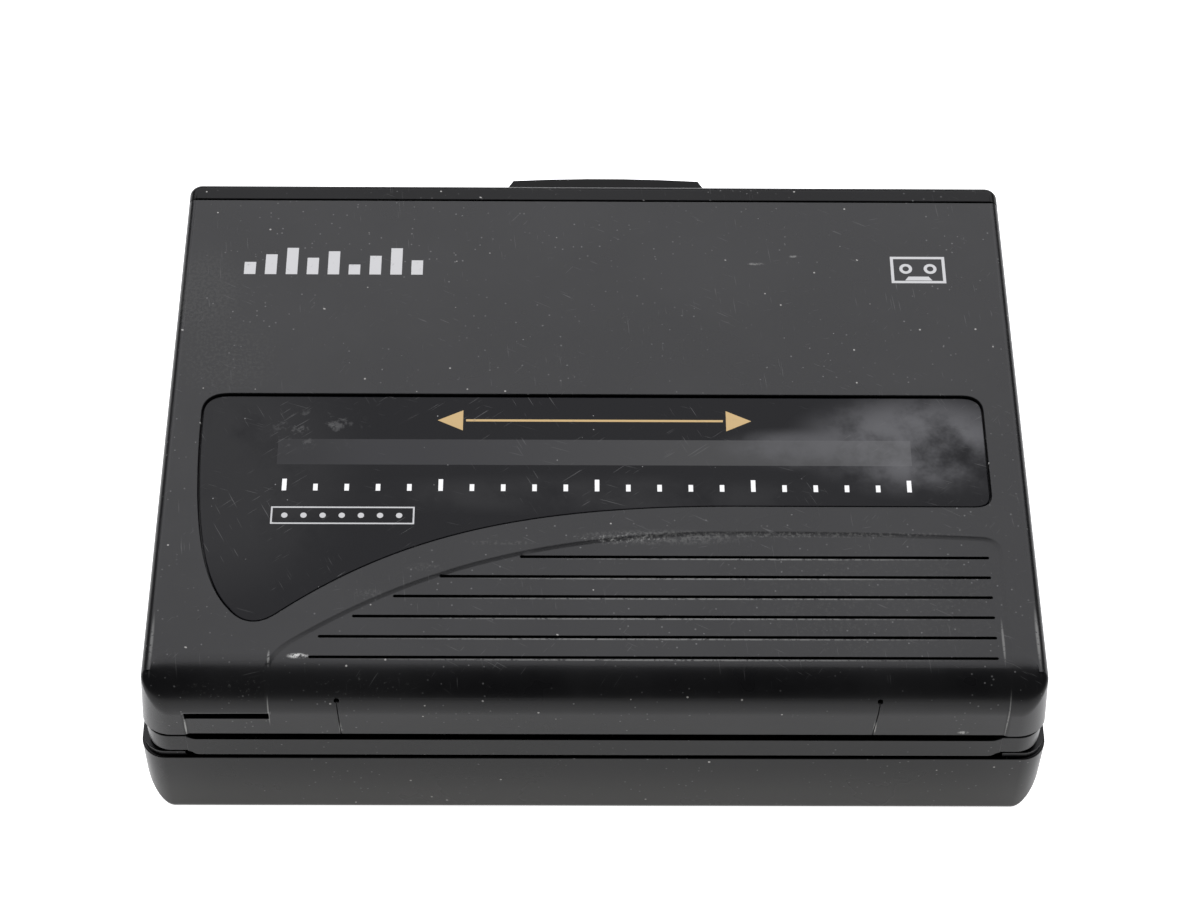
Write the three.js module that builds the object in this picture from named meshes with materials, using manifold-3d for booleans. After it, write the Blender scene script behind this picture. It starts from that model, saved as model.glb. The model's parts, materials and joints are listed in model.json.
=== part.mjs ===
// Pocket auto-reverse cassette player, lying on its back with the cassette door facing up.
// Millimetres, +Z up. +X is to the right of the printed front, +Y towards the control edge,
// and the origin is the middle of the flat back. Everything is built in this one frame.
import * as THREE from 'three';
import { mergeVertices } from 'three/addons/utils/BufferGeometryUtils.js';
import Module from 'manifold-3d';

const wasm = await Module();
wasm.setup();

// ---------------------------------------------------------------- driving dimensions
const HALF_WIDTH = 58.85;
const DOOR_HALF_WIDTH = 57.35;
const DRAFT = 0.08; // how far the side walls of the door lean out for each millimetre down
const NEAR = -42.5;
const DOOR_NEAR = NEAR - 0.35; // the door's skirt stands a little proud of the band under it
const DOOR_ROUND = 5.8; // radius of the door's near edge
const FAR = 42.5;
const HEIGHT = 30;
const WALL = 1.5;
const CORNER = 3.2;
const GAP = 0.3;

const RIM = 13.4; // top edge of the rear case
const DOOR_EDGE = 19.5; // lower edge of the door's skirt
const SEAM = 39.3; // where the door meets the control panel
const SKIN = 1.8;

const REEL = { x: 21.25, y: -5.1 }; // standard compact cassette hub spacing is 42.5
const CASSETTE = { half: 50.2, near: REEL.y - 29.4, far: REEL.y + 34.4 };
const CAPSTAN = { x: 33.6, y: CASSETTE.far - 7, radius: 1 };
const HINGE = { y: -41, z: 16.6, pin: 0.45 };

const DECK = { low: 14.2, top: 15.2, near: -38, far: 38.8 };
const PLATE = { low: 12.7, top: 13.7 };
const CELL = { radius: 7.25, near: -33.1, far: -18.7, z: 8.3, left: -54.6, right: -2.6 };
const BAY_WALL = 0.5;
const BELT = { z: 5.2, size: 1 };
const FLYWHEEL = { radius: 12.5, groove: 12, low: 4.2, top: 8.2 };
const MOTOR = { x: 40, y: -18, radius: 11.2, low: 6.6, top: 12.4, pulley: 2.8 };
const IDLER = { x: -50, y: 6, groove: 3 };
const MODULE = 0.5;
const PINION_TEETH = 12;
const GEAR_TEETH = 36;
const SCREWS = [[-50.5, 36], [50.5, 36], [50.5, -35.5], [2.6, -35.5]];
const ROLLER = { x: CAPSTAN.x, y: 33.6, radius: 3.9, low: 17.6, top: 25.4 };
const ARM_PIVOT = { x: 50, y: 31 };
const KEYS = { names: ['rewind_key', 'forward_key', 'stop_key', 'play_key'],
  first: -45, pitch: 11, width: 10.4, low: 16, top: 20.6, proud: 1.8 };
const RELEASE = { x: 1.7, half: 13.9, low: 25, top: 28, proud: 2.7, crown: 0.45 };
const MODE = { x: 20, z: 18.3, half: 2, travel: 3.4, proud: 0.9 };
const WHEEL = { x: 53.25, y: -2, radius: 6.4, low: 5, top: 8 };
const JACKS = [{ name: 'headphone_jack', y: 14, hole: 3.1 }, { name: 'power_jack', y: 26, hole: 3.4 }];
const JACK_Z = 7.2;
const PLUG = 1.8; // bore radius for a 3.5 mm plug
const SIDE_SWITCHES = [{ name: 'bass_switch', y: 3 }, { name: 'noise_filter_switch', y: 16 }];
const SIDE_SWITCH = { z: 7.6, high: 1, half: 1.7, travel: 3, proud: 0.6 };
const COVER = { right: -4, near: -40.6, far: -11.2, top: 5.6 };
const BOSS = { outer: 2.4, bore: 1.15, recess: 2.1, top: 8.8 };

// ---------------------------------------------------------------- materials
function plastic(color, roughness = 0.55) {
  return new THREE.MeshStandardMaterial({ color, roughness, metalness: 0 });
}
function metal(color, roughness = 0.35) {
  return new THREE.MeshStandardMaterial({ color, roughness, metalness: 1 });
}
const finish = {
  shell: plastic(0x454547, 0.5),
  trim: plastic(0x2e2e30, 0.6),
  lens: plastic(0x1b1b20, 0.15),
  inner: plastic(0x1d1d1f, 0.7),
  white: plastic(0xdcdcd4, 0.5),
  steel: metal(0xb4b6b8),
  spring: metal(0xc9c9c4, 0.3),
  brass: metal(0xb79a55),
  rubber: plastic(0x151515, 0.9),
  board: plastic(0x2f5d34, 0.6),
};

// ---------------------------------------------------------------- solids
function solid(geometry) {
  const bare = geometry.clone();
  bare.deleteAttribute('normal');
  bare.deleteAttribute('uv');
  const merged = mergeVertices(bare, 1e-4);
  return new wasm.Manifold(new wasm.Mesh({
    numProp: 3,
    vertProperties: merged.attributes.position.array,
    triVerts: new Uint32Array(merged.index.array),
  }));
}

function geometryOf(body) {
  const mesh = body.getMesh();
  const geometry = new THREE.BufferGeometry();
  geometry.setAttribute('position', new THREE.BufferAttribute(mesh.vertProperties, 3));
  geometry.setIndex(new THREE.BufferAttribute(mesh.triVerts, 1));
  return geometry;
}

// The same body turned about Z and then moved.
function moved(body, x, y = 0, z = 0, turn = 0) {
  const matrix = new THREE.Matrix4().makeRotationZ(turn).setPosition(x, y, z);
  return solid(geometryOf(body).applyMatrix4(matrix));
}

// The body on the other side of the player; the reversed index keeps its faces outward.
function mirrored(body) {
  const geometry = geometryOf(body).applyMatrix4(new THREE.Matrix4().makeScale(-1, 1, 1));
  geometry.setIndex(Array.from(geometry.index.array).reverse());
  return solid(geometry);
}

const join = (first, ...rest) => rest.reduce((sum, one) => sum.add(one), first);
const cut = (first, ...rest) => rest.reduce((sum, one) => sum.subtract(one), first);

function box(x0, x1, y0, y1, z0, z1) {
  const block = new THREE.BoxGeometry(x1 - x0, y1 - y0, z1 - z0);
  return solid(block.translate((x0 + x1) / 2, (y0 + y1) / 2, (z0 + z1) / 2));
}

// A round bar between two levels along X, Y or Z; at holds its centre on the other two axes.
function bar(axis, at, radius, low, high, sides = 16) {
  const round = new THREE.CylinderGeometry(radius, radius, high - low, sides);
  const middle = (low + high) / 2;
  if (axis === 'z') return solid(round.rotateX(Math.PI / 2).translate(at[0], at[1], middle));
  if (axis === 'x') return solid(round.rotateZ(Math.PI / 2).translate(middle, at[0], at[1]));
  return solid(round.translate(at[0], middle, at[1]));
}

const tube = (axis, at, outer, inner, low, high, sides = 16) =>
  cut(bar(axis, at, outer, low, high, sides), bar(axis, at, inner, low - 1, high + 1, sides));

function prism(shape, low, high, curveSegments = 8) {
  const options = { depth: high - low, bevelEnabled: false, curveSegments };
  return solid(new THREE.ExtrudeGeometry(shape, options).translate(0, 0, low));
}

// A profile drawn in (y, z), extruded along X.
function extrudeX(shape, low, high, curveSegments = 8) {
  const options = { depth: high - low, bevelEnabled: false, curveSegments };
  const geometry = new THREE.ExtrudeGeometry(shape, options);
  const turn = new THREE.Matrix4().makeBasis(
    new THREE.Vector3(0, 1, 0), new THREE.Vector3(0, 0, 1), new THREE.Vector3(1, 0, 0));
  return solid(geometry.applyMatrix4(turn).translate(low, 0, 0));
}

// A profile drawn in (x, z), extruded along Y.
function extrudeY(shape, near, far, curveSegments = 8) {
  const options = { depth: far - near, bevelEnabled: false, curveSegments };
  const geometry = new THREE.ExtrudeGeometry(shape, options);
  return solid(geometry.rotateX(Math.PI / 2).translate(0, far, 0));
}

function polygon(points) {
  return new THREE.Shape(points.map(([x, y]) => new THREE.Vector2(x, y)));
}

// A turned piece: profile is a list of [radius, z] that starts and ends on the axis.
function turned(profile, x, y, sides = 24) {
  const points = profile.map(([radius, z]) => new THREE.Vector2(radius, z));
  return solid(new THREE.LatheGeometry(points, sides).rotateX(Math.PI / 2).translate(x, y, 0));
}

// Joins rings that have the same number of points into one closed body.
function loft(rings) {
  const count = rings[0].length;
  const positions = rings.flat().flatMap((p) => [p.x, p.y, p.z]);
  const index = [];
  for (let level = 0; level + 1 < rings.length; level += 1) {
    for (let i = 0; i < count; i += 1) {
      const a = level * count + i;
      const b = level * count + ((i + 1) % count);
      index.push(a, b, b + count, a, b + count, a + count);
    }
  }
  const top = (rings.length - 1) * count;
  const flat = rings[0].map((p) => new THREE.Vector2(p.x, p.y));
  for (const [a, b, c] of THREE.ShapeUtils.triangulateShape(flat, [])) {
    index.push(a, c, b, top + a, top + b, top + c);
  }
  const geometry = new THREE.BufferGeometry();
  geometry.setAttribute('position', new THREE.Float32BufferAttribute(positions, 3));
  geometry.setIndex(index);
  return solid(geometry);
}

// The plan of a case part: a rectangle with rounded corners, as points with outward normals.
function plan({ half, near, far, nearCorner, farCorner, steps = 5 }) {
  const corners = [[half, near, nearCorner, -90], [half, far, farCorner, 0],
    [-half, far, farCorner, 90], [-half, near, nearCorner, 180]];
  return corners.flatMap(([x, y, radius, start]) => {
    const cx = x - Math.sign(x) * radius;
    const cy = y - Math.sign(y) * radius;
    return Array.from({ length: steps + 1 }, (_, i) => {
      const angle = THREE.MathUtils.degToRad(start + (90 * i) / steps);
      const normal = new THREE.Vector2(Math.cos(angle), Math.sin(angle));
      return { point: new THREE.Vector2(cx, cy).addScaledVector(normal, radius), normal };
    });
  });
}

// A case body of that plan with its upper or lower edge rounded over; edges gives how far each wall's
// round runs in and rises, and a corner mixes those of its two walls. A draft leans the side walls out
// towards their foot.
function caseBody(outline, low, high, { side, near, far, draft = 0 }, roundTop, steps = 5) {
  const ring = (height, inset) => outline.map(({ point, normal }) => {
    const end = normal.y < 0 ? near : far;
    const rise = side[1] * normal.x ** 2 + end[1] * normal.y ** 2;
    return new THREE.Vector3(point.x - normal.x * side[0] * inset,
      point.y - normal.y * end[0] * Math.max(0, inset), height(rise));
  });
  const curve = Array.from({ length: steps + 1 }, (_, i) => (i * Math.PI) / 2 / steps);
  if (roundTop) {
    const lean = draft * (high - side[1] - low);
    return loft([ring(() => low, -lean / side[0]),
      ...curve.map((a) => ring((rise) => high - rise * (1 - Math.sin(a)), 1 - Math.cos(a)))]);
  }
  return loft([...curve.map((a) => ring((rise) => low + rise * (1 - Math.cos(a)), 1 - Math.sin(a))),
    ring(() => high, 0)]);
}

const player = new THREE.Group();
const sections = Object.fromEntries(
  ['casing', 'door', 'controls', 'chassis', 'drive', 'head'].map((name) => {
    const group = new THREE.Group();
    group.name = name;
    player.add(group);
    return [name, group];
  }));

function add(section, name, body, material) {
  const mesh = new THREE.Mesh(geometryOf(body), material.clone());
  mesh.name = name;
  sections[section].add(mesh);
}

// ---------------------------------------------------------------- casing
const caseEdges = (inset) => ({
  side: [5.2 - inset * 0.7, 7 - inset], near: [1.7 - inset, 1.7 - inset], far: [1.7 - inset, 1.7 - inset],
});

function caseOuter() {
  const outline = plan({ half: HALF_WIDTH, near: NEAR, far: FAR, nearCorner: CORNER, farCorner: CORNER });
  return caseBody(outline, 0, RIM, caseEdges(0), false);
}

function caseInner(inset, floor) {
  const outline = plan({ half: HALF_WIDTH - inset, near: NEAR + inset, far: FAR - inset,
    nearCorner: CORNER - 1.2, farCorner: CORNER - 1.2 });
  return caseBody(outline, floor, RIM + 4, caseEdges(1.4), false);
}

function screwBoss(at) {
  return bar('z', at, BOSS.outer, 1, BOSS.top);
}

function screwHole(at) {
  return join(bar('z', at, BOSS.bore, -1, BOSS.top + 1), bar('z', at, BOSS.recess, -1, 1.9));
}

// A thin lip on the rim that runs along both sides and round the near corners, up to the band's strip.
const LIP = { inset: 0.4, thick: 0.7, top: 14.3, start: 53, far: 38 };
function rimLip() {
  const slab = (inset) => {
    const outline = plan({ half: HALF_WIDTH - inset, near: NEAR + inset, far: FAR,
      nearCorner: CORNER - inset, farCorner: 1 });
    return prism(new THREE.Shape(outline.map(({ point }) => point)), RIM - 1, LIP.top);
  };
  return cut(slab(LIP.inset), slab(LIP.inset + LIP.thick),
    box(-LIP.start, LIP.start, NEAR - 1, FAR + 1, 0, HEIGHT),
    box(-HALF_WIDTH, HALF_WIDTH, LIP.far, FAR + 1, 0, HEIGHT));
}

function rearCase() {
  const shell = cut(caseOuter(), caseInner(WALL, 1.6));
  const body = join(shell, rimLip(), ...SCREWS.map(screwBoss));
  const clearance = GAP / 2;
  const door = box(-HALF_WIDTH - 2, COVER.right + clearance, COVER.near - clearance,
    COVER.far + clearance, -1, COVER.top + clearance);
  const wheelSlot = box(HALF_WIDTH - 4, HALF_WIDTH + 2, WHEEL.y - 5.6, WHEEL.y + 5.6,
    WHEEL.low - 0.4, WHEEL.top + 0.4);
  const jackHoles = JACKS.map(({ y, hole }) =>
    bar('x', [y, JACK_Z], hole, HALF_WIDTH - 4, HALF_WIDTH + 1));
  const switchSlots = SIDE_SWITCHES.map(({ y }) => box(-HALF_WIDTH - 1, -HALF_WIDTH + 3,
    y - SIDE_SWITCH.half - 0.3, y + SIDE_SWITCH.half + SIDE_SWITCH.travel + 0.3,
    SIDE_SWITCH.z - SIDE_SWITCH.high - 0.3, SIDE_SWITCH.z + SIDE_SWITCH.high + 0.3));
  return cut(body, door, wheelSlot, ...jackHoles, ...switchSlots, ...SCREWS.map(screwHole));
}

function batteryCover() {
  const shell = cut(caseOuter(), caseInner(WALL, 1));
  const area = box(-HALF_WIDTH - 2, COVER.right - GAP / 2, COVER.near + GAP / 2,
    COVER.far - GAP / 2, -1, COVER.top - GAP / 2);
  const ribs = [0, 1, 2, 3].map((i) => box(-14 - 2 * i, -13.2 - 2 * i, -31, -21, -0.5, 0.35));
  return cut(shell.intersect(area), ...ribs);
}

const PANEL = { skin: 1.5, flange: 1.2, corner: 1.8 };
function controlPanel() {
  const outline = plan({ half: DOOR_HALF_WIDTH, near: NEAR, far: FAR, nearCorner: CORNER,
    farCorner: PANEL.corner });
  const edges = { side: [1.2, 1.2], near: [1.4, 1.4], far: [1.4, 1.4], draft: DRAFT };
  const block = caseBody(outline, RIM + GAP, HEIGHT, edges, true)
    .intersect(box(-HALF_WIDTH, HALF_WIDTH, SEAM, FAR + 1, 0, HEIGHT + 1));
  const hollow = box(-DOOR_HALF_WIDTH + 1, DOOR_HALF_WIDTH - 1, SEAM - 1, FAR - PANEL.skin,
    RIM, HEIGHT - PANEL.flange);
  const last = KEYS.first + KEYS.pitch * (KEYS.names.length - 1);
  const keySlot = box(KEYS.first - KEYS.width / 2 - 0.3, last + KEYS.width / 2 + 0.3, FAR - 3, FAR + 1,
    KEYS.low - 0.2, KEYS.top + 0.2);
  const releaseSlot = box(RELEASE.x - RELEASE.half - 0.3, RELEASE.x + RELEASE.half + 0.3, FAR - 3,
    FAR + 1, RELEASE.low - 0.2, RELEASE.top + 0.2);
  const modeSlot = box(MODE.x - MODE.half - 0.3, MODE.x + MODE.half + MODE.travel + 0.3, FAR - 3,
    FAR + 1, MODE.z - 1.3, MODE.z + 1.3);
  return cut(block, hollow, keySlot, releaseSlot, modeSlot);
}

// ---------------------------------------------------------------- cassette door
const DOOR_FAR = SEAM - GAP;
const PAST = 8; // how far a plan runs past the seam before it is cut off square
const nearSide = () => box(-HALF_WIDTH - 1, HALF_WIDTH + 1, DOOR_NEAR - 1, DOOR_FAR, 0, HEIGHT + 1);
const doorPlan = (inset) => plan({ half: DOOR_HALF_WIDTH - inset, near: DOOR_NEAR + inset,
  far: SEAM + PAST, nearCorner: CORNER - inset * 0.8, farCorner: CORNER });
const doorEdges = (inset) => ({
  side: [1.3 - inset * 0.5, 1.3 - inset * 0.5], near: [DOOR_ROUND - inset, DOOR_ROUND - inset], far: [1, 1],
  draft: DRAFT,
});
const doorBody = (inset, low) =>
  caseBody(doorPlan(inset), low, HEIGHT - inset, doorEdges(inset), true);

// The smoked window: straight along the top and right, swept down to a rounded tip at the left.
function windowShape(grow) {
  const shape = new THREE.Shape();
  const top = 4.4 + grow;
  const right = 52.2 + grow;
  const bottom = -14 - grow;
  const left = -52.6 - grow;
  shape.moveTo(19, bottom);
  shape.lineTo(right - 2.4, bottom);
  shape.quadraticCurveTo(right, bottom, right, bottom + 2);
  shape.lineTo(right, top - 2.6);
  shape.quadraticCurveTo(right, top, right - 2.8, top);
  shape.lineTo(left + 3.6, top);
  shape.quadraticCurveTo(left, top, left, top - 3.2);
  shape.bezierCurveTo(left, -14, -51.2 - grow, -25.5, -47 - grow, -30.2);
  shape.bezierCurveTo(-45.2, -32.6 - grow, -43, -33 - grow, -40.6 + grow * 0.5, -31 - grow);
  shape.bezierCurveTo(-26, -19.2 - grow, -10, bottom, 19, bottom);
  return shape;
}
const VIEW = { half: 42.1, low: -7.2, high: -3 }; // the clear strip that the tape is seen through

// The ribbed panel: sunk a little into the top and the near wall, under a swept upper edge.
const PANEL_LEFT = -41.4;
function panelShape() {
  const shape = new THREE.Shape();
  shape.moveTo(PANEL_LEFT, DOOR_NEAR - 2);
  shape.lineTo(52.6, DOOR_NEAR - 2);
  shape.lineTo(52.6, -21.4);
  shape.quadraticCurveTo(52.6, -19.2, 50, -19.2);
  shape.bezierCurveTo(38, -18.5, 26, -18.4, 14, -18.5);
  shape.bezierCurveTo(-12, -19.6, -27, -26, PANEL_LEFT, -38.6);
  return shape;
}
const PANEL_SUNK = 0.35;
const OVERHANG = { left: -52.2, low: 23.1, top: 24.45, deep: 0.9 }; // over the finger pull at the left
const RIBS = { first: -22.05, pitch: 3.1, width: 0.4, depth: 0.9, right: 51.1,
  left: [-9.7, -20, -25.9, -31, -35.2, -36.3] };

function ribbedPanelCut() {
  const skinDepth = cut(doorBody(0, DOOR_EDGE - 1), doorBody(PANEL_SUNK, DOOR_EDGE - 2));
  const { left, low, top, deep } = OVERHANG;
  const pull = box(left, PANEL_LEFT + 0.1, DOOR_NEAR - 2, DOOR_NEAR + 1.2, DOOR_EDGE - 2, top);
  const area = join(prism(panelShape(), DOOR_EDGE - 2, HEIGHT + 1), pull);
  const undercut = box(left, PANEL_LEFT, DOOR_NEAR - 2, DOOR_NEAR + deep, low, top);
  const grooves = RIBS.left.map((left, i) => {
    const y = RIBS.first - RIBS.pitch * i;
    return box(left, RIBS.right, y - RIBS.width / 2, y + RIBS.width / 2, HEIGHT - RIBS.depth, HEIGHT + 1);
  });
  return join(skinDepth.intersect(area), undercut, ...grooves);
}

const CATCH = { x: 38, half: 1.5 };
function doorCatch() {
  const leg = box(CATCH.x - CATCH.half, CATCH.x + CATCH.half, 37, 38.2, 21.4, HEIGHT - 1);
  const nose = box(CATCH.x - CATCH.half, CATCH.x + CATCH.half, 37.4, 38.9, 21.4, 22.6);
  return join(leg, nose);
}

const LENS_DEPTH = 1.2;
function cassetteDoor() {
  const inner = DOOR_ROUND - 1.4;
  const hollow = caseBody(plan({ half: DOOR_HALF_WIDTH - 1.4, near: DOOR_NEAR + 1.4, far: SEAM + PAST,
    nearCorner: 1.9, farCorner: 1.9 }), DOOR_EDGE - 1, HEIGHT - SKIN,
  { side: [0.5, 0.5], near: [inner, inner], far: [0.2, 0.2] }, true);
  const seat = prism(windowShape(0), HEIGHT - LENS_DEPTH, HEIGHT + 1);
  const aperture = box(-VIEW.half, VIEW.half, VIEW.low, VIEW.high, HEIGHT - 3, HEIGHT + 1);
  const outer = doorBody(0, DOOR_EDGE).intersect(nearSide());
  const shell = cut(outer, hollow, seat, aperture, ribbedPanelCut());
  return join(shell, doorCatch(), mirrored(doorCatch()));
}

const doorWindow = () => prism(windowShape(-0.15), HEIGHT - LENS_DEPTH + 0.02, HEIGHT - 0.3);

// The carrier is the band under the door's skirt; it carries the hinge pins.
const STRIP = { half: 52.2, ramp: 1.2, low: 14.15, top: 18.05, cornerLow: 15, cornerTop: 18.6 };
// The strip in the middle of the near face sits lower than the corners and ramps up to them at its ends.
function stripShape() {
  const { half, ramp, low, top, cornerLow, cornerTop } = STRIP;
  return polygon([[-half - 0.1, cornerLow], [-half + ramp, low], [half - ramp, low], [half + 0.1, cornerLow],
    [half + 0.1, cornerTop], [half - ramp, top], [-half + ramp, top], [-half - 0.1, cornerTop]]);
}

function doorCarrier() {
  const far = SEAM + PAST;
  const outer = plan({ half: DOOR_HALF_WIDTH + 0.55, near: NEAR, far, nearCorner: CORNER, farCorner: 1 });
  const back = plan({ half: DOOR_HALF_WIDTH - 0.5, near: NEAR + 0.8, far, nearCorner: 2.4, farCorner: 1 });
  const opening = plan({ half: DOOR_HALF_WIDTH - 1.6, near: NEAR + 1.8, far, nearCorner: 1.4,
    farCorner: 1 });
  const square = { side: [0.2, 0.2], near: [0.2, 0.2], far: [0.2, 0.2] };
  const slab = (outline, low, top) => caseBody(outline, low, top, square, true, 1);
  const inside = slab(opening, 10, 30);
  const face = cut(slab(outer, STRIP.cornerLow, STRIP.cornerTop),
    box(-STRIP.half, STRIP.half, NEAR - 1, 0, 0, HEIGHT));
  const middle = slab(outer, STRIP.low, STRIP.cornerTop)
    .intersect(extrudeY(stripShape(), NEAR - 1, NEAR + 3));
  const wall = slab(back, STRIP.cornerLow + 0.4, DOOR_EDGE - 0.25);
  const ear = bar('x', [HINGE.y, HINGE.z], 1.15, 51.2, 52.6);
  const pinHole = (sign) => bar('x', [HINGE.y, HINGE.z], HINGE.pin + 0.05,
    Math.min(50.8 * sign, 56 * sign), Math.max(50.8 * sign, 56 * sign), 12);
  const bracketRoom = join(bar('x', [HINGE.y, HINGE.z], 1.05, 52.7, 54.3),
    box(52.7, 54.3, HINGE.y - 1, HINGE.y + 1, STRIP.cornerLow - 1, HINGE.z));
  const thin = box(-50.9, 50.9, NEAR + 0.62, NEAR + 4, 10, STRIP.cornerLow + 0.5);
  const ring = cut(join(wall, face, middle).intersect(nearSide()), inside, thin);
  return cut(join(ring, ear, mirrored(ear)), pinHole(1), pinHole(-1), bracketRoom,
    mirrored(bracketRoom));
}

// A folded sheet-steel pocket inside the door that holds the cassette by its long edge and ends.
function cassetteHolder() {
  const x = CASSETTE.half + 0.5;
  const y = CASSETTE.near - 0.3;
  const t = 0.5;
  const low = 16.45;
  const top = HEIGHT - SKIN - 0.15;
  const ledges = cut(box(-x - t, x + t, y - t, 10, low, low + t), box(-x + 4, x - 4, y + 3.5, 11, 0, 20));
  const walls = cut(box(-x - t, x + t, y - t, 10, low, top), box(-x, x, y, 11, 0, HEIGHT));
  const flange = cut(box(-x - t, x + t, y - t - 2.2, 10, top - t, top), box(-x, x, y, 11, 0, HEIGHT));
  const notch = box(-30, 30, y - 5, y + 1, low + 3, top - 3);
  return cut(join(ledges, walls, flange), notch);
}

function tapeSpring() {
  const strip = new THREE.Shape();
  strip.moveTo(-30, HEIGHT - SKIN - 0.1);
  strip.quadraticCurveTo(-23, 24.8, -16, HEIGHT - SKIN - 0.3);
  strip.lineTo(-16, HEIGHT - SKIN - 0.55);
  strip.quadraticCurveTo(-23, 24.4, -30.2, HEIGHT - SKIN - 0.4);
  return extrudeX(strip, 28, 33);
}

// ---------------------------------------------------------------- hinge
const hingePin = () => bar('x', [HINGE.y, HINGE.z], HINGE.pin, 51.3, 54.2, 12);

function hingeBracket(footZ) {
  const arm = polygon([[HINGE.y, HINGE.z - 0.8], [-36.5, footZ], [-33, footZ], [-33, footZ + 0.6],
    [-36.2, footZ + 1.4], [HINGE.y, HINGE.z + 0.8]]);
  const eye = bar('x', [HINGE.y, HINGE.z], 0.85, 53, 53.8, 16);
  const foot = box(52, 53.8, -37, -33, footZ, footZ + 0.5);
  const hole = bar('x', [HINGE.y, HINGE.z], HINGE.pin + 0.05, 52, 55, 12);
  return cut(join(extrudeX(arm, 53, 53.8), eye, foot), hole);
}

// A closed coil of round wire about the X axis, with two straight legs.
class CoilPath extends THREE.Curve {
  constructor(radius, turns, length) {
    super();
    Object.assign(this, { radius, turns, length });
  }

  getPoint(t, target = new THREE.Vector3()) {
    const angle = t * this.turns * 2 * Math.PI;
    return target.set(t * this.length, this.radius * Math.cos(angle), this.radius * Math.sin(angle));
  }
}

function wire(path, radius, steps, sides = 5) {
  const section = new THREE.Shape();
  for (let i = 0; i < sides; i += 1) {
    const angle = (2 * Math.PI * i) / sides;
    const move = i ? 'lineTo' : 'moveTo';
    section[move](radius * Math.cos(angle), radius * Math.sin(angle));
  }
  return new THREE.ExtrudeGeometry(section, { steps, extrudePath: path, bevelEnabled: false });
}

const coil = (radius, turns, length, thickness, perTurn = 8) =>
  wire(new CoilPath(radius, turns, length), thickness, Math.round(turns * perTurn));

// ---------------------------------------------------------------- controls on the far edge
function roundedBlock(halfX, low, top, y0, y1, radius) {
  const shape = new THREE.Shape();
  const [l, r, b, t] = [-halfX, halfX, low, top];
  shape.moveTo(l + radius, b);
  shape.lineTo(r - radius, b);
  shape.quadraticCurveTo(r, b, r, b + radius);
  shape.lineTo(r, t - radius);
  shape.quadraticCurveTo(r, t, r - radius, t);
  shape.lineTo(l + radius, t);
  shape.quadraticCurveTo(l, t, l, t - radius);
  shape.lineTo(l, b + radius);
  shape.quadraticCurveTo(l, b, l + radius, b);
  return extrudeY(shape, y0, y1, 3);
}

function transportKey(x) {
  const half = KEYS.width / 2;
  const cap = roundedBlock(half, KEYS.low, KEYS.top, FAR - 2.2, FAR + KEYS.proud, 0.7);
  const stop = box(-half, half, FAR - 2.3, FAR - 1.7, KEYS.low - 0.6, KEYS.top + 0.6);
  const groove = bar('x', [FAR + KEYS.proud + 2.6, (KEYS.low + KEYS.top) / 2], 3.1, -half + 1.2, half - 1.2);
  return moved(cut(join(cap, stop), groove), x);
}

function releaseBar() {
  const { half, low, top, proud, crown } = RELEASE;
  const shape = new THREE.Shape();
  shape.moveTo(-half, FAR - 2.6);
  shape.lineTo(half, FAR - 2.6);
  shape.lineTo(half, FAR + 1);
  shape.lineTo(half - 0.7, FAR + proud - crown);
  shape.quadraticCurveTo(0, FAR + proud + crown, -half + 0.7, FAR + proud - crown);
  shape.lineTo(-half, FAR + 1);
  const crowned = prism(shape, low, top, 10);
  const stop = box(-half - 1, half + 1, FAR - 3.4, FAR - 2.5, low - 0.5, top - 0.1);
  return moved(join(crowned, stop), RELEASE.x);
}

function latchPlate() {
  const strip = box(-44, 44, 39.7, 40.4, 21.6, 24.2);
  const hook = box(CATCH.x - 1, CATCH.x + 1, 39.1, 39.9, 22.8, 23.6);
  const slot = box(-6, 6, 39, 41, 22.4, 23.4);
  return cut(join(strip, hook, mirrored(hook)), slot);
}

function modeSwitch() {
  const knob = box(-MODE.half, MODE.half, FAR - 2.6, FAR + MODE.proud, MODE.z - 1, MODE.z + 1);
  const stop = box(-MODE.half - 1.5, MODE.half + 1.5, FAR - 3.2, FAR - 1.8, MODE.z - 2, MODE.z + 2);
  const grip = [-0.9, 0, 0.9].map((x) =>
    box(x - 0.2, x + 0.2, FAR + MODE.proud - 0.3, FAR + 3, MODE.z - 2, MODE.z + 2));
  return moved(cut(join(knob, stop), ...grip), MODE.x);
}

// One comb of leaf springs that returns the four keys: its fingers lean out to them from a spine.
function keySpring() {
  const [back, front, low, bend] = [38.15, 38.45, 15.4, 16.2];
  const tip = { y: 40, z: 19.6 };
  const spine = box(-51, -6, back, front, low, bend);
  const side = polygon([[back, low], [front, low], [front, bend], [tip.y, tip.z], [tip.y - 0.3, tip.z + 0.1],
    [back, bend + 0.2]]);
  const finger = extrudeX(side, -1.5, 1.5);
  const fingers = KEYS.names.map((_, i) => moved(finger, KEYS.first + KEYS.pitch * i));
  return join(spine, ...fingers);
}

// ---------------------------------------------------------------- controls on the sides
function sideSwitch(y) {
  const { z, high, half, travel, proud } = SIDE_SWITCH;
  const knob = box(-HALF_WIDTH - proud, -HALF_WIDTH + 3, -half, half, z - high, z + high);
  const stop = box(-HALF_WIDTH + 2.2, -HALF_WIDTH + 3.3, -half - travel, half + 1.5, z - high - 1,
    z + high + 1);
  const grip = [-0.8, 0, 0.8].map((at) =>
    box(-HALF_WIDTH - 2, -HALF_WIDTH - proud + 0.3, at - 0.18, at + 0.18, z - 2, z + 2));
  return moved(cut(join(knob, stop), ...grip), 0, y);
}

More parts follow.
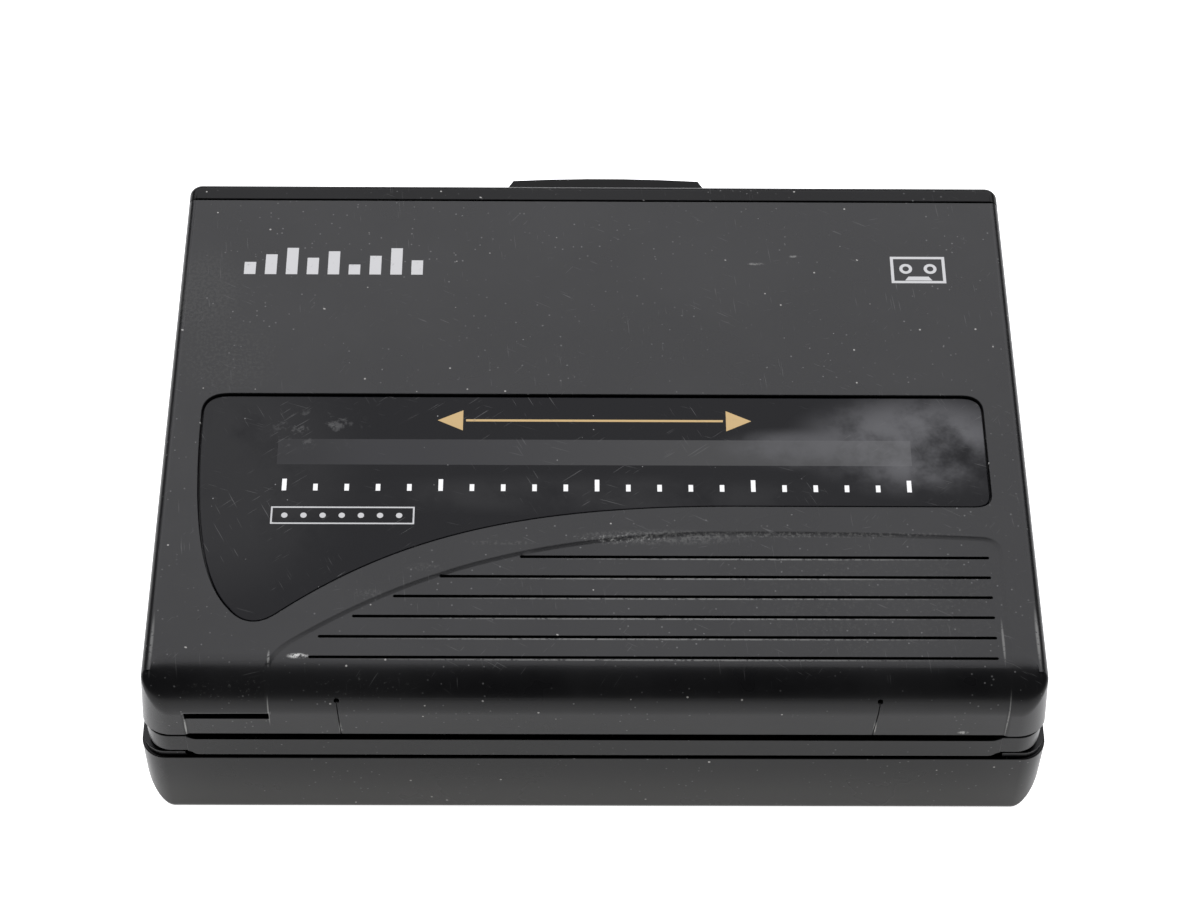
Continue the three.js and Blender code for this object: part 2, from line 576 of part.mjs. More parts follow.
function volumeWheel() {
  const teeth = 32;
  const shape = new THREE.Shape();
  for (let i = 0; i < teeth * 2; i += 1) {
    const angle = (Math.PI * i) / teeth;
    const radius = WHEEL.radius - (i % 2) * 0.3;
    shape[i ? 'lineTo' : 'moveTo'](radius * Math.cos(angle), radius * Math.sin(angle));
  }
  const rim = moved(prism(shape, WHEEL.low, WHEEL.top), WHEEL.x, WHEEL.y);
  const dish = bar('z', [WHEEL.x, WHEEL.y], WHEEL.radius - 1.4, WHEEL.top - 0.6, WHEEL.top + 1);
  return cut(rim, dish, bar('z', [WHEEL.x, WHEEL.y], 1.05, 0, 20, 12));
}

function volumeControl() {
  const base = box(WHEEL.x - 4.5, WHEEL.x + 2, WHEEL.y - 4.5, WHEEL.y + 4.5, 3.3, 4.6);
  return join(base, bar('z', [WHEEL.x, WHEEL.y], 0.95, 4, WHEEL.top - 0.3, 12));
}

function jack({ y, hole }) {
  const body = join(box(47.2, 55.2, y - 3.3, y + 3.3, 3.4, JACK_Z + 3.3),
    box(55, HALF_WIDTH - WALL - 0.6, y - 3.3, y + 3.3, 5.8, JACK_Z + 3.3));
  const nose = bar('x', [y, JACK_Z], hole - 0.15, HALF_WIDTH - 3, HALF_WIDTH - 0.1);
  return cut(join(body, nose), bar('x', [y, JACK_Z], PLUG, 49, HALF_WIDTH + 1, 32));
}

// ---------------------------------------------------------------- chassis
function bayShape(wall, low) {
  const radius = CELL.radius + wall;
  const shape = new THREE.Shape();
  shape.moveTo(CELL.near - radius, low);
  shape.lineTo(CELL.near - radius, CELL.z);
  shape.absarc(CELL.near, CELL.z, radius, Math.PI, Math.PI / 2, true);
  shape.absarc(CELL.far, CELL.z, radius, Math.PI / 2, 0, true);
  shape.lineTo(CELL.far + radius, low);
  return shape;
}

function innerChassis() {
  const deck = box(-55, 55, DECK.near, DECK.far, DECK.low, DECK.top);
  const bay = extrudeX(bayShape(BAY_WALL, 1.8), CELL.left - 0.5, CELL.right + 0.5, 6);
  const room = extrudeX(bayShape(0.05, -2), CELL.left, CELL.right, 6);
  const posts = SCREWS.map(([x, y]) => bar('z', [x, y], 2.3, 9.1, DECK.low + 0.5));
  const studs = [-1, 1].map((side) =>
    bar('z', [side * ARM_PIVOT.x, ARM_PIVOT.y], 1.15, DECK.low, 18.6, 16));
  const rests = [-1, 1].map((side) =>
    join(box(side * 41 - 2, side * 41 + 2, 8, 12, DECK.low, 17.1), bar('z', [side * 41, 10], 0.9,
      DECK.low, 19.5, 12)));
  const reelHoles = [-1, 1].map((side) => bar('z', [side * REEL.x, REEL.y], 8, 10, 20, 24));
  const capstanHoles = [-1, 1].map((side) => bar('z', [side * CAPSTAN.x, CAPSTAN.y], 2.5, 10, 20));
  const headRoom = box(-19, 19, 22, DECK.far + 1, 10, 20);
  const screwBores = SCREWS.map(([x, y]) => bar('z', [x, y], 1, 8, 13.4, 16));
  const inside = caseInner(WALL + GAP, 1.8);
  const body = join(deck, bay, ...posts, ...studs, ...rests);
  return cut(body, room, ...reelHoles, ...capstanHoles, headRoom, ...screwBores)
    .intersect(join(inside, box(-60, 60, -60, 60, RIM - 1, HEIGHT)));
}

function chassisPlate() {
  const outline = polygon([[-54, -10.2], [-1.4, -10.2], [-1.4, -37], [54, -37], [54, 38.2], [-54, 38.2]]);
  const plate = prism(outline, PLATE.low, PLATE.top);
  const reelStuds = [-1, 1].map((side) => bar('z', [side * REEL.x, REEL.y], 0.9, PLATE.low, 22.6, 16));
  const gearStud = bar('z', [GEAR.x, GEAR.y], 0.9, 8.4, PLATE.top, 16);
  const idlerStud = bar('z', [IDLER.x, IDLER.y], 0.9, 3.9, PLATE.top, 16);
  const bushHoles = [-1, 1].map((side) => bar('z', [side * CAPSTAN.x, CAPSTAN.y], 2.05, 10, 20));
  const postHoles = SCREWS.map(([x, y]) => bar('z', [x, y], 2.6, 10, 20));
  const motorHole = bar('z', [MOTOR.x, MOTOR.y], 3.4, 10, 20);
  return cut(join(plate, ...reelStuds, gearStud, idlerStud), ...bushHoles, ...postHoles, motorHole);
}

// ---------------------------------------------------------------- tape drive
function gearShape(teeth, phase) {
  const pitch = (teeth * MODULE) / 2;
  const [root, tip] = [pitch - 1.2 * MODULE, pitch + 0.7 * MODULE];
  const step = (2 * Math.PI) / teeth;
  const shape = new THREE.Shape();
  for (let i = 0; i < teeth; i += 1) {
    const middle = phase + i * step;
    [[root, -0.3], [tip, -0.12], [tip, 0.12], [root, 0.3]].forEach(([radius, share], corner) => {
      const angle = middle + share * step;
      const move = i + corner ? 'lineTo' : 'moveTo';
      shape[move](radius * Math.cos(angle), radius * Math.sin(angle));
    });
  }
  return shape;
}

// The pinion on the left flywheel drives this gear, towards the left reel.
const toGear = new THREE.Vector2(-REEL.x + CAPSTAN.x, REEL.y - CAPSTAN.y).normalize();
const GEAR_DISTANCE = ((PINION_TEETH + GEAR_TEETH) * MODULE) / 2;
const GEAR = { x: -CAPSTAN.x + toGear.x * GEAR_DISTANCE, y: CAPSTAN.y + toGear.y * GEAR_DISTANCE,
  low: 8.6, top: 10 };

function flywheel(side) {
  const { radius, groove, low, top } = FLYWHEEL;
  const wall = BELT.size / 2 + 0.1;
  const profile = [[0, low], [radius, low], [radius, BELT.z - wall], [groove, BELT.z - wall],
    [groove, BELT.z + wall], [radius, BELT.z + wall], [radius, top], [9.5, top], [9.5, top - 1.2],
    [4.5, top - 1.2], [4.5, top], [0, top]];
  const wheel = turned(profile, side * CAPSTAN.x, CAPSTAN.y, 30);
  const bore = bar('z', [side * CAPSTAN.x, CAPSTAN.y], CAPSTAN.radius + 0.05, 0, 20, 16);
  if (side > 0) return cut(wheel, bore);
  const teeth = prism(gearShape(PINION_TEETH, toGear.angle()), top - 0.5, GEAR.top + 0.2);
  const pinion = moved(teeth, -CAPSTAN.x, CAPSTAN.y);
  return cut(join(wheel, pinion), bore);
}

function driveGear() {
  const phase = toGear.angle() + Math.PI + Math.PI / GEAR_TEETH;
  const wheel = moved(prism(gearShape(GEAR_TEETH, phase), GEAR.low, GEAR.top), GEAR.x, GEAR.y);
  const bore = bar('z', [GEAR.x, GEAR.y], 1, 0, 20, 16);
  const holes = [0, 1, 2, 3].map((i) => {
    const angle = (i * Math.PI) / 2;
    return bar('z', [GEAR.x + 5 * Math.cos(angle), GEAR.y + 5 * Math.sin(angle)], 1.5, 0, 20, 12);
  });
  return cut(wheel, bore, ...holes);
}

const capstan = (side) =>
  bar('z', [side * CAPSTAN.x, CAPSTAN.y], CAPSTAN.radius, 3.5, 26, 16);
const capstanBush = (side) => join(
  tube('z', [side * CAPSTAN.x, CAPSTAN.y], 1.95, 1.06, 10.7, 16.2),
  tube('z', [side * CAPSTAN.x, CAPSTAN.y], 2.9, 1.06, PLATE.low - 1, PLATE.low - 0.2));

// The reel drive: a toothed disc, a hub and three drive fins that enter the cassette's hub.
function reel(side) {
  const x = side * REEL.x;
  const disc = moved(prism(gearShape(28, 0), 13.95, 15), x, REEL.y);
  const hub = turned([[0, 13.95], [5.9, 13.95], [5.9, 15.8], [4.4, 16.1], [4.2, 17.4], [3.1, 17.6],
    [3.1, 22.6], [2.2, 23.8], [0, 23.8]], x, REEL.y, 20);
  const fins = [0, 1, 2].map((i) =>
    moved(box(2.4, 4.25, -0.55, 0.55, 17, 22.4), x, REEL.y, 0, Math.PI / 6 + (i * 2 * Math.PI) / 3));
  return cut(join(disc, hub, ...fins), bar('z', [x, REEL.y], 1, 10, 22.8, 16));
}

// The belt passes outside the right flywheel, the idler and the pulley, and its back turns the left one.
const BELT_ROUTE = [
  { x: MOTOR.x, y: MOTOR.y, radius: MOTOR.pulley },
  { x: CAPSTAN.x, y: CAPSTAN.y, radius: FLYWHEEL.groove },
  { x: -CAPSTAN.x, y: CAPSTAN.y, radius: -(FLYWHEEL.groove + BELT.size + 0.16) },
  { x: IDLER.x, y: IDLER.y, radius: IDLER.groove },
];

function beltLine(offset) {
  const count = BELT_ROUTE.length;
  const wheels = BELT_ROUTE.map((wheel) => ({ ...wheel, radius: wheel.radius + offset }));
  const heading = wheels.map((from, i) => {
    const to = wheels[(i + 1) % count];
    const distance = Math.hypot(to.x - from.x, to.y - from.y);
    return Math.atan2(to.y - from.y, to.x - from.x) - Math.asin((to.radius - from.radius) / distance);
  });
  return wheels.flatMap((wheel, i) => {
    const arrive = heading[(i + count - 1) % count];
    let turn = (heading[i] - arrive) % (2 * Math.PI);
    if (wheel.radius > 0 && turn < 0) turn += 2 * Math.PI;
    if (wheel.radius < 0 && turn > 0) turn -= 2 * Math.PI;
    const steps = Math.max(2, Math.ceil(Math.abs(turn) / 0.26));
    return Array.from({ length: steps + 1 }, (_, k) => {
      const angle = arrive + (turn * k) / steps - Math.PI / 2;
      return [wheel.x + wheel.radius * Math.cos(angle), wheel.y + wheel.radius * Math.sin(angle)];
    });
  });
}

function driveBelt() {
  const [low, top] = [BELT.z - BELT.size / 2, BELT.z + BELT.size / 2];
  const outer = prism(polygon(beltLine(BELT.size + 0.08)), low, top);
  return cut(outer, prism(polygon(beltLine(0.08)), low - 1, top + 1));
}

function grooved(x, y, groove, low, top) {
  const wall = BELT.size / 2 + 0.1;
  const rim = groove + 0.9;
  return turned([[0, low], [rim, low], [rim, BELT.z - wall], [groove, BELT.z - wall],
    [groove, BELT.z + wall], [rim, BELT.z + wall], [rim, top], [0, top]], x, y, 20);
}

function motorPulley() {
  const shaft = bar('z', [MOTOR.x, MOTOR.y], 0.75, 3.9, 12, 12);
  return join(grooved(MOTOR.x, MOTOR.y, MOTOR.pulley, 4.3, 6.2), shaft);
}

function motor() {
  const { x, y, radius, low, top } = MOTOR;
  const can = turned([[0, low], [radius - 0.8, low], [radius, low + 0.8], [radius, top], [3, top],
    [3, top + 0.9], [0, top + 0.9]], x, y, 30);
  return cut(can, bar('z', [x, y], 0.85, 0, 20, 12));
}

const beltIdler = () => cut(grooved(IDLER.x, IDLER.y, IDLER.groove, 4.2, 6.4),
  bar('z', [IDLER.x, IDLER.y], 1, 0, 20, 16));

// ---------------------------------------------------------------- head and pinch rollers
function headPlate() {
  const plate = box(-17.5, 17.5, 28.4, 38, 14.4, 15);
  const bracket = box(-8.6, 8.6, 31, 37.6, 14.8, 17);
  const ear = join(box(8.6, 12.4, 31.5, 36, 14.8, 15.8), bar('z', [10.6, 33.7], 1.1, 15, 16.4, 16));
  const fork = join(box(6.9, 8.1, 30.2, 33, 16, 25.2), box(6.9, 8.1, 29.6, 31, 23.6, 25.2),
    box(6.9, 8.1, 29.6, 31, 17.4, 19.4));
  const slot = box(-13.5, -11.5, 29.6, 36.6, 10, 20);
  return cut(join(plate, bracket, ear, mirrored(ear), fork, mirrored(fork)), slot, mirrored(slot));
}

function tapeHead() {
  const outline = new THREE.Shape();
  outline.moveTo(-6.3, 37.4);
  outline.lineTo(-6.3, 31.6);
  outline.quadraticCurveTo(-5, 29.9, 0, 29.9);
  outline.quadraticCurveTo(5, 29.9, 6.3, 31.6);
  outline.lineTo(6.3, 37.4);
  return prism(outline, 17.1, 25.7, 8);
}

function pinchArm(side) {
  const [px, py] = [side * ARM_PIVOT.x, ARM_PIVOT.y];
  const [rx, ry] = [side * ROLLER.x, ROLLER.y];
  const length = Math.hypot(rx - px, ry - py);
  const link = moved(box(0, length, -1.7, 1.7, 15.9, 16.8), px, py, 0, Math.atan2(ry - py, rx - px));
  const boss = bar('z', [px, py], 2.4, 15.5, 18.2, 20);
  const end = bar('z', [rx, ry], 2.2, 15.9, 17.3, 20);
  const pin = bar('z', [rx, ry], 0.75, 16, 26.2, 12);
  return cut(join(link, boss, end, pin), bar('z', [px, py], 1.25, 10, 20, 16));
}

const pinchRoller = (side) =>
  tube('z', [side * ROLLER.x, ROLLER.y], ROLLER.radius, 0.85, ROLLER.low, ROLLER.top, 24);

// ---------------------------------------------------------------- electrics and fasteners
function mainBoard() {
  const outline = polygon([[-52.5, -8.6], [-0.2, -8.6], [-0.2, -38.5], [52.5, -38.5], [52.5, 38.5],
    [-52.5, 38.5]]);
  const board = prism(outline, 2, 3.1);
  const chips = [[12, 4, 8, 8], [0, 24, 9, 7], [-8, 10, 6, 6], [20, -14, 5, 7], [-30, -2, 8, 4]]
    .map(([x, y, w, d]) => box(x - w / 2, x + w / 2, y - d / 2, y + d / 2, 3, 4));
  const cans = [[10, -31], [17, -31], [24, -34], [12, -24]].map(([x, y]) => bar('z', [x, y], 2.6, 3, 9, 16));
  const notches = SCREWS.map(([x, y]) => join(bar('z', [x, y], 2.9, 0, 9, 20),
    box(x - 2.9, x + 2.9, Math.min(y, y * 2), Math.max(y, y * 2), 0, 9)));
  return cut(join(board, ...chips, ...cans), ...notches);
}

function screw([x, y]) {
  const body = turned([[0, 0.7], [1.9, 0.7], [1.9, 1.3], [0.9, 1.75], [0.9, 12.4], [0, 13.2]], x, y, 12);
  const cross = [[1.2, 0.28], [0.28, 1.2]].map(([w, d]) => box(x - w, x + w, y - d, y + d, 0, 1.2));
  return cut(body, ...cross);
}

const CONTACT = { low: 3, top: 13.5, thick: 0.4 };
function contactBridge() {
  const x = CELL.left + 0.1;
  return box(x, x + CONTACT.thick, CELL.near - 4.5, CELL.far + 4.5, CONTACT.low + 1.6, CONTACT.top - 1);
}

function contactPlus() {
  const x = CELL.right - 0.1;
  return box(x - CONTACT.thick, x, CELL.far - 4.5, CELL.far + 4.5, CONTACT.low, CONTACT.top);
}

// A battery spring: a flat plate with a coil that narrows towards the cell.
class ConePath extends THREE.Curve {
  constructor(wide, narrow, turns, length) {
    super();
    Object.assign(this, { wide, narrow, turns, length });
  }

  getPoint(t, target = new THREE.Vector3()) {
    const angle = t * this.turns * 2 * Math.PI;
    const radius = this.wide + (this.narrow - this.wide) * t;
    return target.set(-t * this.length, radius * Math.cos(angle), radius * Math.sin(angle));
  }
}

function contactMinus() {
  const x = CELL.right - 0.1;
  const plate = box(x - CONTACT.thick, x, CELL.near - 4.5, CELL.near + 4.5, CONTACT.low, CONTACT.top);
  const spring = solid(wire(new ConePath(3.6, 1.8, 3, 3), 0.3, 30));
  return join(plate, moved(spring, x - CONTACT.thick - 0.1, CELL.near, CELL.z));
}

// ---------------------------------------------------------------- assembly
add('casing', 'rear_case', rearCase(), finish.shell);
add('casing', 'battery_cover', batteryCover(), finish.shell);
add('casing', 'control_panel', controlPanel(), finish.shell);
add('door', 'cassette_door', cassetteDoor(), finish.shell);
add('door', 'door_window', doorWindow(), finish.lens);
add('door', 'door_carrier', doorCarrier(), finish.shell);
add('door', 'cassette_holder', cassetteHolder(), finish.steel);
add('door', 'tape_spring_right', tapeSpring(), finish.spring);
add('door', 'tape_spring_left', mirrored(tapeSpring()), finish.spring);
add('door', 'hinge_pin_right', hingePin(), finish.steel);
add('door', 'hinge_pin_left', mirrored(hingePin()), finish.steel);
add('door', 'hinge_bracket_right', hingeBracket(DECK.top + 0.05), finish.steel);
const bayTop = CELL.z + CELL.radius + BAY_WALL;
add('door', 'hinge_bracket_left', mirrored(hingeBracket(bayTop + 0.05)), finish.steel);

add('controls', 'release_bar', releaseBar(), finish.trim);
add('controls', 'latch_plate', latchPlate(), finish.steel);
add('controls', 'latch_spring', moved(solid(coil(0.9, 5, 6, 0.2)), 44.6, 39.8, 22.9), finish.spring);
KEYS.names.forEach((name, i) => {
  add('controls', name, transportKey(KEYS.first + KEYS.pitch * i), finish.trim);
});
add('controls', 'key_spring', keySpring(), finish.spring);
add('controls', 'reverse_mode_switch', modeSwitch(), finish.trim);
SIDE_SWITCHES.forEach(({ name, y }) => add('controls', name, sideSwitch(y), finish.trim));
add('controls', 'volume_wheel', volumeWheel(), finish.trim);
add('controls', 'volume_control', volumeControl(), finish.inner);
JACKS.forEach((one) => add('chassis', one.name, jack(one), finish.inner));

add('chassis', 'inner_chassis', innerChassis(), finish.inner);
add('chassis', 'chassis_plate', chassisPlate(), finish.steel);
add('chassis', 'main_board', mainBoard(), finish.board);
add('chassis', 'contact_bridge', contactBridge(), finish.spring);
add('chassis', 'contact_plus', contactPlus(), finish.spring);
add('chassis', 'contact_minus', contactMinus(), finish.spring);

add('drive', 'motor', motor(), finish.steel);
add('drive', 'motor_pulley', motorPulley(), finish.brass);
add('drive', 'belt_idler', beltIdler(), finish.white);
add('drive', 'drive_belt', driveBelt(), finish.rubber);
add('drive', 'drive_gear', driveGear(), finish.white);
for (const [word, side] of [['left', -1], ['right', 1]]) {
  add('drive', `flywheel_${word}`, flywheel(side), finish.brass);
  add('drive', `capstan_${word}`, capstan(side), finish.steel);
  add('drive', `capstan_bush_${word}`, capstanBush(side), finish.brass);
  add('drive', `reel_${word}`, reel(side), finish.white);
  add('head', `pinch_arm_${word}`, pinchArm(side), finish.steel);
  add('head', `pinch_roller_${word}`, pinchRoller(side), finish.rubber);
}
add('head', 'head_plate', headPlate(), finish.steel);
add('head', 'tape_head', tapeHead(), finish.steel);
SCREWS.forEach((at, i) => add('casing', `case_screw_${i + 1}`, screw(at), finish.steel));

export default player;
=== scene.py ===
"""The looks of a pocket cassette player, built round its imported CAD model.

Lengths are in millimetres up to mesh_piece(), which turns them into metres. The player lies on its
back: +Z is up through the cassette door, +Y points to the edge with the keys.
"""
import json
import math

import bmesh
import bpy
from mathutils import Matrix, Vector, geometry


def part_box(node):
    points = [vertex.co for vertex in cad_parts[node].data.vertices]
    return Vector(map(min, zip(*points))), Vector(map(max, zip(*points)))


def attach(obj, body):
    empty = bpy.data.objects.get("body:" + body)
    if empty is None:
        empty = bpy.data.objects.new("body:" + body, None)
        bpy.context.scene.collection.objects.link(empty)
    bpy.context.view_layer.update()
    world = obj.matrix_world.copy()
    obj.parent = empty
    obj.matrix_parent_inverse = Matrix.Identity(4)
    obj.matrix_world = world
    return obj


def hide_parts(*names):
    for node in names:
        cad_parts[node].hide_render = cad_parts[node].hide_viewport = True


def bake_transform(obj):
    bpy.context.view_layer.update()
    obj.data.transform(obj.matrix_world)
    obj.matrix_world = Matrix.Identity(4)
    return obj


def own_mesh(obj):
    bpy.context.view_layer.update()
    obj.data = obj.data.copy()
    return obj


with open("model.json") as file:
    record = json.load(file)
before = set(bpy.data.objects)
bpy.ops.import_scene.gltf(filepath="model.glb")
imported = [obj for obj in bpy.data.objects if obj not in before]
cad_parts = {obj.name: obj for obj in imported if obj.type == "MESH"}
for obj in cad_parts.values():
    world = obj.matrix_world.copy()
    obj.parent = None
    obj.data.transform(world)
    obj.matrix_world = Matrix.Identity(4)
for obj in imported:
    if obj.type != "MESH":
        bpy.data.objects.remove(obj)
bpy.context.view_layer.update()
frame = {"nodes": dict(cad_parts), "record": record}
MM = 0.001
SCENE = bpy.context.scene


def node_box(name):
    """A CAD node's lowest and highest corner, in millimetres."""
    low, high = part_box(name)
    return low / MM, high / MM


def node_middle(name):
    low, high = node_box(name)
    return (low + high) / 2


# ---------------------------------------------------------------- sizes, from the frame
DOOR_LOW, DOOR_HIGH = node_box("cassette_door")
CASE_LOW, CASE_HIGH = node_box("rear_case")
PANEL_LOW, PANEL_HIGH = node_box("control_panel")
BAND_LOW, BAND_HIGH = node_box("door_carrier")
COVER_LOW, COVER_HIGH = node_box("battery_cover")
LENS_LOW, LENS_HIGH = node_box("door_window")
BAR_LOW, BAR_HIGH = node_box("release_bar")

TOP = DOOR_HIGH.z
NEAR = DOOR_LOW.y  # the door's near face, a little proud of the band and the case under it
RIM = PANEL_LOW.z - 0.3
CORNER = 3.2
DRAFT = 0.08  # how far the side walls of the door lean out for each millimetre down
SIDE_ROUND = 1.3
DOOR_HALF = DOOR_HIGH.x - DRAFT * (TOP - SIDE_ROUND - DOOR_LOW.z)
PANEL_CORNER = 1.8
ROUND = 5.8  # the door's near edge is rounded over by this radius
SKIN = 1.8  # the thickness of the door's top
WALL = 1.4  # the thickness of its side and near walls
INNER_CORNER = 1.9
LENS_DEPTH = 1.2
SUNK = 0.22  # how deep the ribbed panel lies
OVERHANG = {"left": -52.2, "low": 23.1, "top": 24.45, "deep": 0.9}  # over the finger pull at the left
PANEL_LEFT = -41.4
RIBS = {"first": -22.05, "pitch": 3.1, "width": 0.34, "depth": 0.75, "right": 51.1,
        "left": (-9.7, -20, -25.9, -31, -35.2, -36.3)}
VIEW = {"half": 42.1, "low": -7.2, "high": -3.0}  # the viewing strip in the window
CATCH = {"places": (-38, 38), "half": 1.5, "foot": 21.4, "nose": 1.2}
HINGE = (-41, 16.6)  # the y and z of the door's pins
SCREW = {"boss": 2.4, "boss_top": 8.8, "shank": 1.15, "head": 2.1, "sunk": 1.9}
TRAVEL = {"side": 3, "mode": 3.4}  # how far the switches on the side and on the rail slide
JACK_HEIGHT = 7.2


# ---------------------------------------------------------------- mesh tools
SHARP = 32  # an edge whose faces meet at over this many degrees is shaded sharp


def mesh_piece(name, points, faces):
    """A smooth shaded object from points in millimetres."""
    mesh = bpy.data.meshes.new(name)
    mesh.from_pydata([Vector(p) * MM for p in points], [], faces)
    work = bmesh.new()
    work.from_mesh(mesh)
    bmesh.ops.remove_doubles(work, verts=work.verts, dist=1e-7)
    bmesh.ops.recalc_face_normals(work, faces=work.faces)
    work.to_mesh(mesh)
    work.free()
    piece = bpy.data.objects.new(name, mesh)
    SCENE.collection.objects.link(piece)
    return shade(piece)


def shade(piece):
    piece.data.shade_smooth()
    piece.data.set_sharp_from_angle(angle=math.radians(SHARP))
    return piece


def loft(name, rings):
    """Joins rings of equally many points into one closed piece."""
    count = len(rings[0])
    points = [p for ring in rings for p in ring]
    faces = [tuple(reversed(range(count))), tuple(range(len(points) - count, len(points)))]
    for level in range(len(rings) - 1):
        for i in range(count):
            a = level * count + i
            b = level * count + (i + 1) % count
            faces.append((a, b, b + count, a + count))
    return mesh_piece(name, points, faces)


def rectangle(x0, x1, y0, y1):
    return [(x0, y0), (x1, y0), (x1, y1), (x0, y1)]


def prism(points, z0, z1, name="cutter"):
    return loft(name, [[(x, y, z) for x, y in points] for z in (z0, z1)])


def block(x0, x1, y0, y1, z0, z1, name="cutter"):
    return prism(rectangle(x0, x1, y0, y1), z0, z1, name)


def circle(x, y, radius, sides):
    angles = [2 * math.pi * i / sides for i in range(sides)]
    return [(x + radius * math.cos(a), y + radius * math.sin(a)) for a in angles]


def round_bar(axis, at, radius, low, high, sides=40):
    """A round bar along X, Y or Z."""
    return loft("cutter", [[{"x": (level, u, v), "y": (u, level, v), "z": (u, v, level)}[axis]
                            for u, v in circle(*at, radius, sides)] for level in (low, high)])


def combine(base, cutters, operation="DIFFERENCE"):
    """Cuts pieces from base, or joins them to it, and removes them."""
    for cutter in cutters:
        step = base.modifiers.new("step", "BOOLEAN")
        step.operation = operation
        step.solver = "EXACT"
        step.object = cutter
        graph = bpy.context.evaluated_depsgraph_get()
        mesh = bpy.data.meshes.new_from_object(base.evaluated_get(graph))
        base.modifiers.clear()
        base.data = mesh
        bpy.data.objects.remove(cutter)
    work = bmesh.new()
    work.from_mesh(base.data)
    bmesh.ops.remove_doubles(work, verts=work.verts, dist=2e-7)
    bmesh.ops.dissolve_degenerate(work, dist=2e-7, edges=work.edges)
    work.to_mesh(base.data)
    work.free()
    return shade(base)


def cut(base, *cutters):
    return combine(base, cutters)


def join(base, *others):
    return combine(base, others, "UNION")


def weigh_normals(piece):
    weigh = piece.modifiers.new("weighted_normals", "WEIGHTED_NORMAL")
    weigh.keep_sharp = True
    return piece


def soften(piece, width=0.15, segments=2, angle=38):
    """Rounds the piece's sharp edges a little, as moulding and stamping do."""
    bevel = piece.modifiers.new("bevel", "BEVEL")
    bevel.width = width * MM
    bevel.segments = segments
    bevel.limit_method = "ANGLE"
    bevel.angle_limit = math.radians(angle)
    bevel.use_clamp_overlap = True
    return weigh_normals(piece)


# ---------------------------------------------------------------- outlines
def bezier(a, b, c, d, steps):
    made = geometry.interpolate_bezier(Vector((*a, 0)), Vector((*b, 0)), Vector((*c, 0)), Vector((*d, 0)),
                                       steps + 1)
    return [(p.x, p.y) for p in made[1:]]


def path(start, *parts, steps=14):
    """An outline from a start point and parts of one (line), two (quadratic) or three (cubic) points."""
    points = [start]
    for part in parts:
        a = points[-1]
        if len(part) == 1:
            points.append(part[0])
        elif len(part) == 2:
            control, end = part
            first = tuple(p + (q - p) * 2 / 3 for p, q in zip(a, control))
            second = tuple(p + (q - p) * 2 / 3 for p, q in zip(end, control))
            points += bezier(a, first, second, end, steps)
        else:
            points += bezier(a, *part, steps * 3)
    if math.dist(points[0], points[-1]) < 1e-6:
        points.pop()
    return points


def offset(points, distance):
    """The outline moved outward by distance; points run anticlockwise."""
    moved = []
    for i, point in enumerate(points):
        here = Vector(point)
        first = (here - Vector(points[i - 1])).normalized()
        second = (Vector(points[(i + 1) % len(points)]) - here).normalized()
        normal = Vector((first.y + second.y, -first.x - second.x)).normalized()
        share = max(0.5, normal.dot(Vector((first.y, -first.x))))
        moved.append(tuple(here + normal * distance / share))
    return moved


def anticlockwise(points):
    area = sum(a[0] * b[1] - b[0] * a[1] for a, b in zip(points, points[1:] + points[:1]))
    return points if area > 0 else points[::-1]


def stadium(x0, x1, y, width, steps=8):
    """The outline of a groove with round ends."""
    radius = width / 2
    turn = [math.pi * (i / steps - 0.5) for i in range(steps + 1)]
    right = [(x1 - radius + radius * math.cos(a), y + radius * math.sin(a)) for a in turn]
    return right + [(x0 + radius - radius * math.cos(a), y - radius * math.sin(a)) for a in turn]


def case_plan(half, near, far, near_corner, far_corner, steps=12):
    """A rounded rectangle as points with outward directions."""
    found = []
    corners = ((1, -1, near_corner, -90), (1, 1, far_corner, 0), (-1, 1, far_corner, 90),
               (-1, -1, near_corner, 180))
    for sx, sy, radius, start in corners:
        x = sx * half
        y = near if sy < 0 else far
        for i in range(steps + 1):
            angle = math.radians(start + 90 * i / steps)
            normal = (math.cos(angle), math.sin(angle))
            point = (x - sx * radius + radius * normal[0], y - sy * radius + radius * normal[1])
            found.append((point, normal))
    return found


def even(size):
    return dict.fromkeys(("side", "near", "far"), (size, size))


def case_ring(outline, edges, scale, z_of, lean=0.0):
    ring = []
    for (x, y), (nx, ny) in outline:
        end = edges["near"] if ny < 0 else edges["far"]
        side = edges["side"]
        rise = side[1] * nx * nx + end[1] * ny * ny
        ring.append((x + nx * (lean - side[0] * scale), y - ny * end[0] * scale, z_of(rise)))
    return ring


PAST = 8  # how far a plan runs past the seam before it is cut off square


def trim(at, side, lip=0.18, steps=6):
    """A cutter for everything past the seam at y = at, on that side, which leaves a rounded top edge."""
    curve = [math.pi / 2 * i / steps for i in range(steps + 1)]
    lines = [(at, 5)] + [(at - side * lip * (1 - math.cos(a)), TOP - lip * (1 - math.sin(a))) for a in curve]
    lines += [(at - side * lip, TOP + 5), (at + side * 2 * PAST, TOP + 5), (at + side * 2 * PAST, 5)]
    return loft("cutter", [[(x, y, z) for y, z in lines] for x in (-70, 70)])


